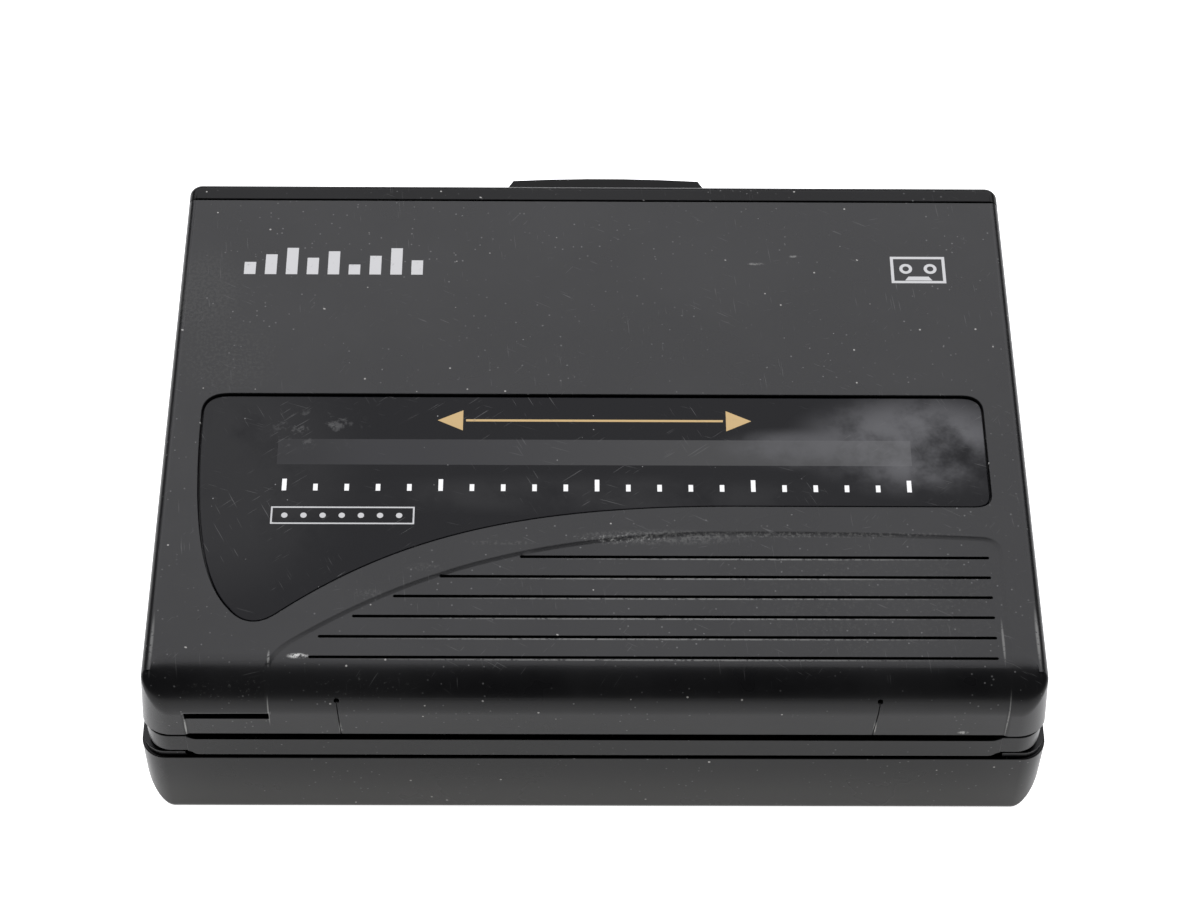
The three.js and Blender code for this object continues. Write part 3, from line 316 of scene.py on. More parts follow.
def case_body(name, outline, low, high, top=None, bottom=None, steps=10, draft=0.0):
    """A case part of that plan with its top and bottom edges rounded by (run, rise) for each side.

    A draft leans its side walls out towards their foot.
    """
    angles = [math.pi / 2 * i / steps for i in range(steps + 1)]
    lean = draft * (high - (top["side"][1] if top else 0) - low)
    rings = []
    if bottom:
        rings += [case_ring(outline, bottom, 1 - math.sin(a),
                            lambda r, a=a: low + r * (1 - math.cos(a)), lean) for a in angles]
    else:
        rings.append(case_ring(outline, even(0), 0, lambda r: low, lean))
    if top:
        rings += [case_ring(outline, top, 1 - math.cos(a), lambda r, a=a: high - r * (1 - math.sin(a)))
                  for a in angles]
    else:
        rings.append(case_ring(outline, even(0), 0, lambda r: high))
    return loft(name, rings)


# ---------------------------------------------------------------- the door's surface
ARC = ROUND * math.pi / 2


def unrolled(y=None, z=None):
    """Distance from the start of the near rounding, along the door's skin: up the top or down the wall."""
    return y - (NEAR + ROUND) if z is None else -(ARC + (TOP - ROUND - z))


def on_door(u, v, depth):
    """The point at that unrolled place, depth below the door's skin."""
    if v >= 0:
        return (u, NEAR + ROUND + v, TOP - depth)
    if v > -ARC:
        angle = -v / ROUND
        radius = ROUND - depth
        return (u, NEAR + ROUND - radius * math.sin(angle), TOP - ROUND + radius * math.cos(angle))
    return (u, NEAR + depth, TOP - ROUND + v + ARC)


# A recess's wall: how far outside its outline the surface has which share of the depth.
FILLET = ((-0.35, 1.0), (-0.22, 0.92), (0.2, 0.2), (0.3, 0.05), (0.36, 0.0), (0.4, -0.1))


def skin_cutter(outline, depth, lines=24):
    """A cutter that sinks an unrolled outline into the door's skin, with rounded upper edges."""
    outline = anticlockwise(outline)
    loops = [offset(outline, at) for at, _ in FILLET]
    points = [Vector(p) for ring in loops for p in ring]
    count = len(outline)
    edges = [(k * count + i, k * count + (i + 1) % count) for k in range(len(loops)) for i in range(count)]
    low_u = min(p.x for p in points) - 1
    high_u = max(p.x for p in points) + 1
    low_v = min(p.y for p in points)
    for i in range(lines + 1):
        level = -ARC * i / lines
        if level > low_v:
            points += [Vector((low_u, level)), Vector((high_u, level))]
            edges.append((len(points) - 2, len(points) - 1))
    made, _, faces, origin, _, _ = geometry.delaunay_2d_cdt(points, edges, [], 0, 1e-5)
    loop_of = {}
    for index, sources in enumerate(origin):
        rings = [s // count for s in sources if s < count * len(loops)]
        if rings:
            loop_of[index] = rings[0]
    outer = loops[-1]
    share = [FILLET[loop_of[i]][1] if i in loop_of else fillet_share(point, outline)
             for i, point in enumerate(made)]
    kept = [f for f in faces if inside(sum((made[i] for i in f), Vector((0, 0))) / len(f), outer)]
    used = sorted({i for f in kept for i in f})
    place = {old: new for new, old in enumerate(used)}
    bottom = [on_door(made[i].x, made[i].y, share[i] * depth) for i in used]
    lid = [on_door(made[i].x, made[i].y, -1.0) for i in used]
    kept = [tuple(place[i] for i in f) for f in kept]
    all_faces = [tuple(reversed(f)) for f in kept]
    all_faces += [tuple(i + len(used) for i in f) for f in kept]
    sides = {}
    for f in kept:
        for a, b in zip(f, f[1:] + f[:1]):
            if (b, a) in sides:
                del sides[(b, a)]
            else:
                sides[(a, b)] = True
    all_faces += [(a, b, b + len(used), a + len(used)) for a, b in sides]
    return mesh_piece("cutter", bottom + lid, all_faces)


def inside(point, outline):
    x, y = point
    odd = False
    for (x0, y0), (x1, y1) in zip(outline, outline[1:] + outline[:1]):
        if (y0 > y) != (y1 > y) and x < x0 + (y - y0) * (x1 - x0) / (y1 - y0):
            odd = not odd
    return odd


def fillet_share(point, outline):
    """The share of the depth at a point, from its distance to the outline."""
    best = 1e9
    for a, b in zip(outline, outline[1:] + outline[:1]):
        a, b = Vector(a), Vector(b)
        t = max(0.0, min(1.0, (point - a).dot(b - a) / max(1e-12, (b - a).length_squared)))
        best = min(best, (point - a - (b - a) * t).length)
    if inside(point, outline):
        best = -best
    if best <= FILLET[0][0]:
        return 1.0
    for (d0, s0), (d1, s1) in zip(FILLET, FILLET[1:]):
        if best <= d1:
            return s0 + (s1 - s0) * (best - d0) / (d1 - d0)
    return FILLET[-1][1]


def window_outline():
    right, top, left, bottom = 52.2, 4.4, -52.6, -14.0
    return anticlockwise(path(
        (19, bottom), ((right - 2.4, bottom),), ((right, bottom), (right, bottom + 2)), ((right, top - 2.6),),
        ((right, top), (right - 2.8, top)), ((left + 3.6, top),), ((left, top), (left, top - 3.2)),
        ((left, -14), (-51.2, -25.5), (-47, -30.2)), ((-45.2, -32.6), (-43, -33), (-40.6, -31)),
        ((-26, -19.2), (-10, bottom), (19, bottom))))


def panel_outline():
    """The ribbed panel, unrolled: it runs over the near rounding and widens on the near wall."""
    foot = unrolled(z=DOOR_LOW.z - 1.5)
    step = unrolled(z=OVERHANG["top"])
    left = OVERHANG["left"]
    start = unrolled(y=-38.9)
    return anticlockwise(path(
        (left, foot), ((52.7, foot),), ((52.5, start),), ((52.6, unrolled(y=-21.4)),),
        ((52.6, unrolled(y=-19.1)), (50, unrolled(y=-19.1))),
        ((38, unrolled(y=-18.4)), (26, unrolled(y=-18.3)), (14, unrolled(y=-18.4))),
        ((-9, unrolled(y=-19.4)), (-24, unrolled(y=-24.9)), (-38.2, unrolled(y=-35))),
        ((-40.8, unrolled(y=-36.9)), (PANEL_LEFT, start)), ((PANEL_LEFT, step),), ((left, step),)))


# ---------------------------------------------------------------- materials
class Nodes:
    """A short way to write a node tree."""

    def __init__(self, name):
        self.material = bpy.data.materials.new(name)
        self.material.use_nodes = True
        self.tree = self.material.node_tree
        self.shader = self.tree.nodes["Principled BSDF"]
        self.place = self.new("ShaderNodeTexCoord").outputs["Object"]

    def new(self, kind, **values):
        node = self.tree.nodes.new(kind)
        for key, value in values.items():
            setattr(node, key, value)
        return node

    def put(self, socket, value):
        if isinstance(value, bpy.types.NodeSocket):
            self.tree.links.new(value, socket)
        else:
            socket.default_value = value

    def math(self, operation, a, b=0.0):
        node = self.new("ShaderNodeMath", operation=operation)
        self.put(node.inputs[0], a)
        self.put(node.inputs[1], b)
        return node.outputs[0]

    def noise(self, scale, detail=3.0, roughness=0.5, at=None):
        node = self.new("ShaderNodeTexNoise")
        self.put(node.inputs["Vector"], at or self.place)
        for key, value in (("Scale", scale), ("Detail", detail), ("Roughness", roughness)):
            node.inputs[key].default_value = value
        return node.outputs["Fac"]

    def stretched(self, turn, scale, shift=(0, 0, 0)):
        """The place turned about Z by an angle in degrees, then scaled along each axis."""
        spin = self.new("ShaderNodeMapping")
        self.put(spin.inputs["Vector"], self.place)
        spin.inputs["Rotation"].default_value = (0, 0, math.radians(turn))
        spin.inputs["Location"].default_value = shift
        pull = self.new("ShaderNodeMapping")
        self.put(pull.inputs["Vector"], spin.outputs[0])
        pull.inputs["Scale"].default_value = scale
        return pull.outputs[0]

    def band(self, value, low, high):
        """0 below low, 1 above high, smooth between."""
        node = self.new("ShaderNodeMapRange", interpolation_type="SMOOTHSTEP")
        self.put(node.inputs["Value"], value)
        node.inputs["From Min"].default_value = low
        node.inputs["From Max"].default_value = high
        return node.outputs["Result"]

    def mix(self, share, a, b):
        node = self.new("ShaderNodeMix", data_type="RGBA")
        self.put(node.inputs[0], share)
        self.put(node.inputs[6], a)
        self.put(node.inputs[7], b)
        return node.outputs[2]

    def blend(self, share, a, b):
        node = self.new("ShaderNodeMix", data_type="FLOAT")
        self.put(node.inputs[0], share)
        self.put(node.inputs[2], a)
        self.put(node.inputs[3], b)
        return node.outputs[0]

    def specks(self, scale, size, share, at=None):
        """Small round dots: scale is per metre, size the radius in cells, share how many cells have one."""
        node = self.new("ShaderNodeTexVoronoi")
        self.put(node.inputs["Vector"], at or self.place)
        node.inputs["Scale"].default_value = scale
        dot = self.band(node.outputs["Distance"], size, size * 0.6)
        pick = self.new("ShaderNodeSeparateColor")
        self.put(pick.inputs[0], node.outputs["Color"])
        return self.math("MULTIPLY", dot, self.math("GREATER_THAN", pick.outputs[0], 1 - share))

    def scratches(self, turn, length, width, amount, shift=(0, 0, 0)):
        """Short hairlines along one direction, with lengths and widths in millimetres."""
        pull = (1 / (length * MM), 1 / (width * MM), 1 / (length * MM))
        lines = self.noise(1.0, 1.0, 0.4, self.stretched(turn, pull, shift))
        where = self.noise(70.0, 3.0, 0.6, self.stretched(turn, (1, 1, 1), (shift[1], 0.3, 0.1)))
        return self.math("MULTIPLY", self.band(lines, 1 - amount, 1 - amount + 0.05),
                         self.band(where, 0.5, 0.6))

    def spot(self, middle, radii):
        """1 in the middle of an ellipsoid, 0 outside it; both are in millimetres."""
        pull = self.new("ShaderNodeMapping")
        self.put(pull.inputs["Vector"], self.place)
        pull.inputs["Scale"].default_value = [1 / (r * MM) for r in radii]
        pull.inputs["Location"].default_value = [-m / r for m, r in zip(middle, radii)]
        length = self.new("ShaderNodeVectorMath", operation="LENGTH")
        self.put(length.inputs[0], pull.outputs[0])
        return self.band(length.outputs["Value"], 1.0, 0.35)

    def bump(self, height, strength, distance):
        node = self.new("ShaderNodeBump")
        self.put(node.inputs["Height"], height)
        node.inputs["Strength"].default_value = strength
        node.inputs["Distance"].default_value = distance
        self.put(self.shader.inputs["Normal"], node.outputs[0])

    def finish(self, color, roughness, metallic=0.0, ior=1.5):
        self.put(self.shader.inputs["Base Color"], color)
        self.put(self.shader.inputs["Roughness"], roughness)
        self.shader.inputs["Metallic"].default_value = metallic
        self.shader.inputs["IOR"].default_value = ior
        return self.material


def grey(level, tint=(1.0, 1.0, 1.0)):
    return (level * tint[0], level * tint[1], level * tint[2], 1.0)


def shell_plastic(name, level=0.008, ior=1.3, wear_and_highlights=(), painted_foot_glow=0.0):
    """Black moulded case plastic: fine texture, dust, short scratches, rubbed patches and painted highlights.

    Each entry of the pale-patch list is a place, its radii, how pale it is, and how broken up; on the door
    some are painted highlights. With a foot glow the colour is painted paler towards the back of the case,
    painted light that stands in for the white floor's glow.
    """
    n = Nodes(name)
    parts = n.new("ShaderNodeSeparateXYZ")
    n.put(parts.inputs[0], n.place)
    height = parts.outputs["Z"]
    cloud = n.noise(45.0, 4.0, 0.6)
    color = n.mix(n.band(cloud, 0.35, 0.7), grey(level * 0.8, (1, 1, 1.08)), grey(level * 1.5, (1, 1, 1.05)))
    # painted light: the colour grows paler towards the foot, standing in for light from the white floor
    if painted_foot_glow:
        color = n.mix(n.band(height, RIM * MM, 0.0), color, grey(painted_foot_glow, (1, 0.98, 0.93)))
    crumbs = n.noise(2300.0, 4.0, 0.7)
    # pale patches: rubbed wear, and on the door painted highlights too
    for middle, radii, pale, broken in wear_and_highlights:
        patch = n.math("MULTIPLY", n.spot(middle, radii), n.band(crumbs, broken - 0.07, broken + 0.07))
        color = n.mix(patch, color, grey(pale, (1, 1, 0.96)))
    marks = 0.0
    for turn, length, width, amount in ((28, 3.5, 0.16, 0.275), (-52, 3, 0.15, 0.27), (84, 4, 0.15, 0.265),
                                        (-12, 3, 0.14, 0.26)):
        shift = (turn / 700, turn / 900, 0)
        marks = n.math("MAXIMUM", marks, n.scratches(turn, length, width, amount, shift))
    on_top = n.band(height, (TOP - 3) * MM, (TOP - 1) * MM)
    color = n.mix(n.math("MULTIPLY", marks, n.blend(on_top, 0.0, 0.42)), color, grey(0.12))
    skewed = n.stretched(25, (1, 1.6, 1), (0.01, 0.02, 0))
    dust = n.math("MAXIMUM", n.specks(420.0, 0.07, 0.26), n.specks(190.0, 0.045, 0.24, skewed))
    fine = n.math("MULTIPLY", n.specks(1150.0, 0.17, 0.4), n.band(n.noise(70.0, 3.0, 0.6), 0.4, 0.6))
    color = n.mix(fine, color, grey(0.1))
    color = n.mix(dust, color, grey(0.34, (1, 0.98, 0.93)))
    n.bump(n.noise(5200.0, 2.0, 0.6), 0.35, 0.00002)
    rough = n.blend(n.band(cloud, 0.3, 0.7), 0.26, 0.32)
    return n.finish(color, rough, ior=ior)


# Pale places on the window: haze, and in the two at the right also painted highlight.
# Each is the place, its radii, how pale it is, and how broken up.
LENS_HAZE_AND_SHEEN = [
    ((43, -3.5, TOP), (19, 10, 6), 0.14, 0.3),
    ((26, -4.5, TOP), (11, 4, 6), 0.1, 0.33),
    ((-50, -9, TOP), (22, 26, 6), 0.02, 0.2),
    ((0, -12, TOP), (40, 4, 6), 0.02, 0.3),
]


def lens_plastic(name):
    """Smoked acrylic with a paler viewing strip, scratched, clouded towards its ends, with painted highlight
    at the right.
    """
    n = Nodes(name)
    parts = n.new("ShaderNodeSeparateXYZ")
    n.put(parts.inputs[0], n.place)
    across = n.math("LESS_THAN", n.math("ABSOLUTE", parts.outputs["X"]), VIEW["half"] * MM)
    middle = (VIEW["low"] + VIEW["high"]) / 2 * MM
    along = n.math("ABSOLUTE", n.math("SUBTRACT", parts.outputs["Y"], middle))
    strip = n.math("MULTIPLY", across, n.math("LESS_THAN", along, (VIEW["high"] - VIEW["low"]) / 2 * MM))
    paler = n.mix(n.band(parts.outputs["X"], -30 * MM, 25 * MM), grey(0.034, (1, 1, 1.06)), grey(0.054))
    color = n.mix(strip, grey(0.002, (1, 1, 1.6)), paler)
    patch_noise = n.noise(95.0, 5.0, 0.62)
    # haze; the two right-hand patches are partly painted highlight
    for place, radii, pale, low in LENS_HAZE_AND_SHEEN:
        haze_and_sheen = n.math("MULTIPLY", n.spot(place, radii), n.band(patch_noise, low, low + 0.32))
        color = n.mix(n.math("MULTIPLY", haze_and_sheen, 0.7), color, grey(pale, (1, 1, 1.04)))
    crumbs = n.noise(520.0, 4.0, 0.7)
    smudge = n.math("MULTIPLY", n.spot((-37, -1.5, TOP), (8, 5, 6)), n.band(crumbs, 0.54, 0.66))
    color = n.mix(n.math("MULTIPLY", smudge, 0.6), color, grey(0.09))
    marks = 0.0
    for turn, length, width, amount in ((18, 5, 0.15, 0.285), (-38, 4, 0.15, 0.29), (62, 5, 0.17, 0.285)):
        marks = n.math("MAXIMUM", marks, n.scratches(turn, length, width, amount, (turn / 500, 0.09, 0)))
    color = n.mix(n.math("MULTIPLY", marks, 0.5), color, grey(0.14))
    color = n.mix(n.specks(620.0, 0.07, 0.14), color, grey(0.25))
    rough = n.blend(strip, 0.22, 0.4)
    n.bump(n.noise(700.0, 2.0), 0.05, 0.00002)
    return n.finish(color, rough, ior=1.18)


def trim_plastic(name, level=0.01, rough=0.35, ior=1.4):
    n = Nodes(name)
    cloud = n.noise(90.0, 3.0)
    dust = n.specks(500.0, 0.05, 0.12)
    color = n.mix(n.band(cloud, 0.4, 0.7), grey(level), grey(level * 1.5))
    n.bump(n.noise(3800.0, 2.0), 0.25, 0.00002)
    return n.finish(n.mix(dust, color, grey(0.25)), n.blend(cloud, rough, rough + 0.12), ior=ior)


def inner_plastic(name):
    n = Nodes(name)
    cloud = n.noise(35.0, 4.0, 0.6)
    color = n.mix(cloud, grey(0.02), grey(0.034))
    n.bump(n.noise(2600.0, 3.0), 0.3, 0.00003)
    return n.finish(n.mix(n.specks(300.0, 0.05, 0.1), color, grey(0.2)), n.blend(cloud, 0.5, 0.65))


def white_plastic(name):
    n = Nodes(name)
    cloud = n.noise(80.0, 3.0)
    color = n.mix(cloud, (0.62, 0.61, 0.55, 1), (0.74, 0.73, 0.68, 1))
    grease = n.band(n.noise(160.0, 3.0, 0.6), 0.62, 0.72)
    n.bump(n.noise(1800.0, 2.0), 0.15, 0.00002)
    return n.finish(n.mix(n.math("MULTIPLY", grease, 0.4), color, (0.35, 0.3, 0.2, 1)),
                    n.blend(grease, 0.42, 0.2))


def metal(name, color, rough=0.3, along=(1, 40, 1)):
    """Plated or turned metal with fine drawing lines and a few dull spots."""
    n = Nodes(name)
    lines = n.noise(60.0, 4.0, 0.6, n.stretched(0, along))
    spots = n.band(n.noise(120.0, 4.0, 0.6), 0.55, 0.75)
    tone = n.mix(lines, (*[c * 0.82 for c in color], 1), (*color, 1))
    tone = n.mix(n.math("MULTIPLY", spots, 0.3), tone, (*[c * 0.55 for c in color], 1))
    n.bump(lines, 0.12, 0.00002)
    return n.finish(tone, n.blend(spots, rough, rough + 0.18), metallic=1.0)


def rubber(name):
    n = Nodes(name)
    fine = n.noise(2500.0, 3.0, 0.7)
    n.bump(fine, 0.5, 0.00004)
    return n.finish(n.mix(n.noise(120.0, 3.0), grey(0.008), grey(0.022)), n.blend(fine, 0.65, 0.85))


def circuit_board(name):
    """Green solder mask over a pattern of copper tracks and solder dots."""
    n = Nodes(name)
    bricks = n.new("ShaderNodeTexBrick")
    n.put(bricks.inputs["Vector"], n.stretched(0, (1, 1, 1)))
    bricks.inputs["Scale"].default_value = 260.0
    bricks.inputs["Mortar Size"].default_value = 0.03
    tracks = n.math("MULTIPLY", n.math("SUBTRACT", 1.0, bricks.outputs["Fac"]), 0.6)
    color = n.mix(tracks, (0.06, 0.2, 0.07, 1), (0.02, 0.09, 0.03, 1))
    dots = n.specks(420.0, 0.16, 0.35)
    n.bump(bricks.outputs["Fac"], 0.3, 0.00003)
    return n.finish(n.mix(dots, color, (0.6, 0.6, 0.58, 1)), n.blend(dots, 0.35, 0.22))


def print_ink(name, color):
    """Thin printed ink, a little worn through."""
    n = Nodes(name)
    worn = n.band(n.noise(900.0, 4.0, 0.7), 0.6, 0.75)
    n.bump(n.noise(3000.0, 2.0), 0.1, 0.00001)
    return n.finish(n.mix(n.math("MULTIPLY", worn, 0.55), (*color, 1), grey(0.05)), 0.45)


LOOK = {
    "shell": shell_plastic("case_black"),
    "lens": lens_plastic("smoked_lens"),
    "trim": trim_plastic("trim_black"),
    "inner_plastic": inner_plastic("inner_black"),
    "white_plastic": white_plastic("acetal_white"),
    "steel": metal("plated_steel", (0.6, 0.61, 0.62), 0.28),
    "spring_steel": metal("spring_steel", (0.7, 0.69, 0.66), 0.22, (1, 10, 1)),
    "brass": metal("turned_brass", (0.72, 0.52, 0.22), 0.25, (1, 1, 60)),
    "rubber": rubber("rubber_black"),
    "board": circuit_board("circuit_board"),
}
INK = {
    "silver": print_ink("ink_silver", (0.5, 0.5, 0.5)),
    "gold": print_ink("ink_gold", (0.5, 0.33, 0.115)),
    "white": print_ink("ink_white", (0.85, 0.85, 0.84)),
}
# Pale places on the door: the swept edge, a groove's end, the panel's ends, the corners and small chips.
# The streaks on the roundings near the near corners and just inside the panel's right end are painted
# highlights, the lines at the panel's ends are partly wear and partly painted highlight, and the lines
# along the grooves' lips, added below, are painted highlights; the rest is rubbed wear.
DOOR_WEAR_AND_HIGHLIGHTS = [
    ((9, -19, TOP), (13, 1.4, 2), 0.055, 0.5),
    ((3, -19.2, TOP), (8, 1.1, 2), 0.2, 0.61),
    ((25, -18.5, TOP), (28, 0.5, 2), 0.07, 0.54),
    ((-12, -20, TOP), (6, 0.5, 2), 0.035, 0.54),
    ((-22, -23.9, TOP), (3, 0.8, 2), 0.035, 0.54),
    ((-29, -28, TOP), (2.5, 0.9, 2), 0.035, 0.54),
    ((-54, 22, TOP), (7, 10, 2), 0.022, 0.5),
    ((-50, 11, TOP), (9, 9, 2), 0.02, 0.54),
    ((36, -29, TOP), (24, 12, 2), 0.02, 0.58),
    ((-37.6, -37.4, TOP), (1.7, 0.5, 2), 0.55, 0.5),
    # the panel's ends: pale lines, partly wear and partly painted highlight
    ((-41.3, -37.7, TOP - 0.6), (0.25, 1.4, 1.2), 0.25, 0.45),
    ((PANEL_LEFT, NEAR, 25), (0.13, 1.6, 4), 0.2, 0.36),
    ((OVERHANG["left"], NEAR, 21.4), (0.15, 1, 2.6), 0.3, 0.36),
    ((52.6, NEAR, 24), (0.12, 3, 6), 0.16, 0.38),
    # painted highlights: streaks on the roundings near the near corners and inside the panel's right end
    ((51.9, -35, TOP - 0.3), (0.22, 4, 1.4), 0.13, 0.4),
    ((-56.2, -35.5, TOP - 0.5), (0.3, 5.5, 1.4), 0.12, 0.4),
    ((56.3, -34.5, TOP - 0.5), (0.35, 6, 1.4), 0.15, 0.4),
    ((-32.5, NEAR, 21), (0.22, 1, 1.8), 0.2, 0.4),
    ((35.8, NEAR, 21.4), (0.25, 1, 2), 0.24, 0.4),
    ((47.2, NEAR, 20.2), (0.9, 1, 0.5), 0.3, 0.48),
    ((-46, NEAR + 1.5, 28), (8, 3, 2), 0.07, 0.66),
    ((-30, NEAR + 1.5, 28), (9, 3, 2), 0.07, 0.66),
    ((22.5, 27.6, TOP), (1.6, 0.3, 1), 0.14, 0.5),
    ((27.8, 29, TOP), (0.8, 0.3, 1), 0.14, 0.5),
]
# painted highlight: a pale line along each groove's near lip, where it would catch the light
for row, left in enumerate(RIBS["left"]):
    reach = (RIBS["right"] - left) / 2
    lip = RIBS["first"] - RIBS["pitch"] * row - RIBS["width"] / 2 - 0.16
    DOOR_WEAR_AND_HIGHLIGHTS.append(((left + reach, lip, TOP), (reach * 1.1, 0.18, 1), 0.14, 0.45))
DOOR_LOOK = shell_plastic("door_black", wear_and_highlights=DOOR_WEAR_AND_HIGHLIGHTS)
# the rear shell's foot is painted paler: painted light from the floor
REAR_LOOK = shell_plastic("rear_black", 0.003, 1.255, painted_foot_glow=0.045)
BAND_LOOK = shell_plastic("band_black", 0.004, 1.26)
RAIL_LOOK = shell_plastic("rail_black", 0.004, 1.19)
BAR_LOOK = trim_plastic("bar_black", 0.004, 0.35, 1.16)


def dress(piece, body, slot, look=None, *stands_for):
    """Gives a piece its body and material, the slot's look unless another is given, and hides the CAD nodes
    it stands for.
    """
    piece.data.materials.clear()
    piece.data.materials.append(look or LOOK[slot])
    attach(piece, body)
    if stands_for:
        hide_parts(*stands_for)
    return piece


# ---------------------------------------------------------------- case
def door_shell():
    far = DOOR_HIGH.y + PAST
    outline = case_plan(DOOR_HALF, NEAR, far, CORNER, CORNER)
    edges = {"side": (SIDE_ROUND, SIDE_ROUND), "near": (ROUND, ROUND), "far": (1, 1)}
    shell = case_body("door_shell", outline, DOOR_LOW.z + 0.1, TOP, edges, None, 24, DRAFT)
    hollow = case_body("cutter", case_plan(DOOR_HALF - WALL, NEAR + WALL, far, INNER_CORNER, INNER_CORNER),
                       DOOR_LOW.z - 1, TOP - SKIN,
                       {"side": (0.5, 0.5), "near": (ROUND - WALL, ROUND - WALL), "far": (0.2, 0.2)})
    seat = window_outline()
    seat_rings = [[(x, y, z) for x, y in offset(seat, d)] for z, d in
                  ((TOP - LENS_DEPTH, 0), (TOP - 0.22, 0), (TOP - 0.1, 0.03), (TOP - 0.03, 0.1),
                   (TOP + 0.02, 0.24), (TOP + 1, 0.24))]
    aperture = block(-VIEW["half"], VIEW["half"], VIEW["low"], VIEW["high"], TOP - 3, TOP + 1)
    undercut = block(OVERHANG["left"], PANEL_LEFT, NEAR - 1, NEAR + OVERHANG["deep"], OVERHANG["low"],
                     OVERHANG["top"])
    cut(shell, trim(DOOR_HIGH.y + 0.14, 1), hollow, loft("cutter", seat_rings), aperture,
        skin_cutter(panel_outline(), SUNK), undercut)
    cut(shell, *rib_cutters(), *slit_cutters())
    half, foot = CATCH["half"], CATCH["foot"]
    catches = [block(x - half, x + half, 37, 38.2, foot, TOP - 1) for x in CATCH["places"]]
    noses = [block(x - half, x + half, 37.4, 38.9, foot, foot + CATCH["nose"]) for x in CATCH["places"]]
    join(shell, *catches, *noses)
    return dress(weigh_normals(shell), "door", "shell", DOOR_LOOK, "cassette_door")


def rib_cutters():
    """Six grooves with round ends and rounded lips in the sunk panel."""
    floor = TOP - SUNK
    made = []
    for i, left in enumerate(RIBS["left"]):
        y = RIBS["first"] - RIBS["pitch"] * i
        line = stadium(left, RIBS["right"], y, RIBS["width"])
        rings = [[(px, py, z) for px, py in offset(line, d)] for z, d in
                 ((floor - RIBS["depth"], -0.06), (floor - 0.1, 0), (floor - 0.03, 0.02),
                  (floor + 0.01, 0.06), (floor + 0.3, 0.06))]
        made.append(loft("cutter", rings))
    return made


def slit_cutters():
    """Two hairline joints in the near wall, each with a small pip at its top."""
    made = []
    for x, lean in ((-32.7, 0.25), (36.1, -0.5)):
        line = [(x - 0.07, 26.6), (x + 0.07, 26.6), (x + 0.07 + lean, 19), (x - 0.07 + lean, 19)]
        made.append(loft("cutter", [[(px, y, pz) for px, pz in line] for y in (NEAR - 1, NEAR + 0.8)]))
        made.append(round_bar("y", (x, 26.6), 0.36, NEAR - 1, NEAR + 1.2, 16))
    return made


def window_lens():
    line = window_outline()
    rings = [[(x, y, z) for x, y in offset(line, d)] for z, d in
             ((LENS_LOW.z, -0.15), (LENS_HIGH.z - 0.2, -0.15), (LENS_HIGH.z - 0.08, -0.18),
              (LENS_HIGH.z - 0.02, -0.25), (LENS_HIGH.z, -0.36))]
    return dress(weigh_normals(loft("window_lens", rings)), "door", "lens", None, "door_window")


STRIP = {"half": 52.2, "ramp": 0.7, "low": BAND_LOW.z, "top": 18.05, "corner_low": 15.0, "corner_top": 18.6}


def strip_face():
    """The strip seen from the front, as (x, z): lower than the corners, with ramps up to them at its ends."""
    half, ramp, low, top = STRIP["half"], STRIP["ramp"], STRIP["low"], STRIP["top"]
    rise, high = STRIP["corner_low"], STRIP["corner_top"]
    bend = ramp / 2
    right = [((half - ramp - bend, low),), ((half - ramp, low), (half - bend, (low + rise) / 2)),
             ((half, rise), (half + bend, rise)), ((half + bend, high),),
             ((half, high), (half - bend, (high + top) / 2)),
             ((half - ramp, top), (half - ramp - bend, top))]
    line = path((0, low), *right, ((0, top),), steps=5)
    return line + [(-x, z) for x, z in line[-2:0:-1]]


def hinge_bars(radius, inner, outer, sides):
    """A round bar on the hinge's axis at each side of the door."""
    return [round_bar("x", HINGE, radius, *sorted((s * inner, s * outer)), sides) for s in (-1, 1)]


def carrier():
    """The band under the door: tall at the corners, lower and a little proud along the middle."""
    far = DOOR_HIGH.y + PAST
    outline = case_plan(BAND_HIGH.x - 0.05, BAND_LOW.y + 0.08, far, CORNER, CORNER)
    band = case_body("carrier_band", outline, STRIP["corner_low"], STRIP["corner_top"], even(0.2), even(0.25),
                     5)
    cut(band, block(-STRIP["half"], STRIP["half"], BAND_LOW.y - 1, 0, 0, TOP))
    face = strip_face()
    front_edge = ((0, 0.16), (0.03, 0.07), (0.12, 0.01), (0.2, 0), (3, 0))
    strip = loft("cutter", [[(x, BAND_LOW.y + back, z) for x, z in offset(face, -inset)]
                            for back, inset in front_edge])
    wall = case_body("cutter", case_plan(DOOR_HALF - 0.5, BAND_LOW.y + 0.8, far, 2.4, 2.4),
                     STRIP["corner_low"] + 0.4, DOOR_LOW.z - 0.25)
    ears = hinge_bars(1.15, 51.2, 52.6, 32)
    hollow = case_body("cutter", case_plan(DOOR_HALF - 1.6, BAND_LOW.y + 1.8, far, 1.4, 1.4), 10, 30)
    thin = block(-50.9, 50.9, BAND_LOW.y + 0.62, BAND_LOW.y + 4, 10, STRIP["corner_low"] + 0.5)
    join(band, wall, strip)
    cut(band, trim(DOOR_HIGH.y, 1), hollow, thin)
    join(band, *ears)
    holes = hinge_bars(0.5, 50.8, 56, 20)
    rooms = hinge_bars(1.05, 52.7, 54.3, 32)
    rooms += [block(*sorted((s * 52.7, s * 54.3)), HINGE[0] - 1, HINGE[0] + 1, STRIP["corner_low"] - 1,
                    HINGE[1]) for s in (-1, 1)]
    cut(band, *holes, *rooms)
    return dress(weigh_normals(band), "door", "shell", BAND_LOOK, "door_carrier")


CASE_EDGES = {"side": (5.2, 7), "near": (1.7, 1.7), "far": (1.7, 1.7)}


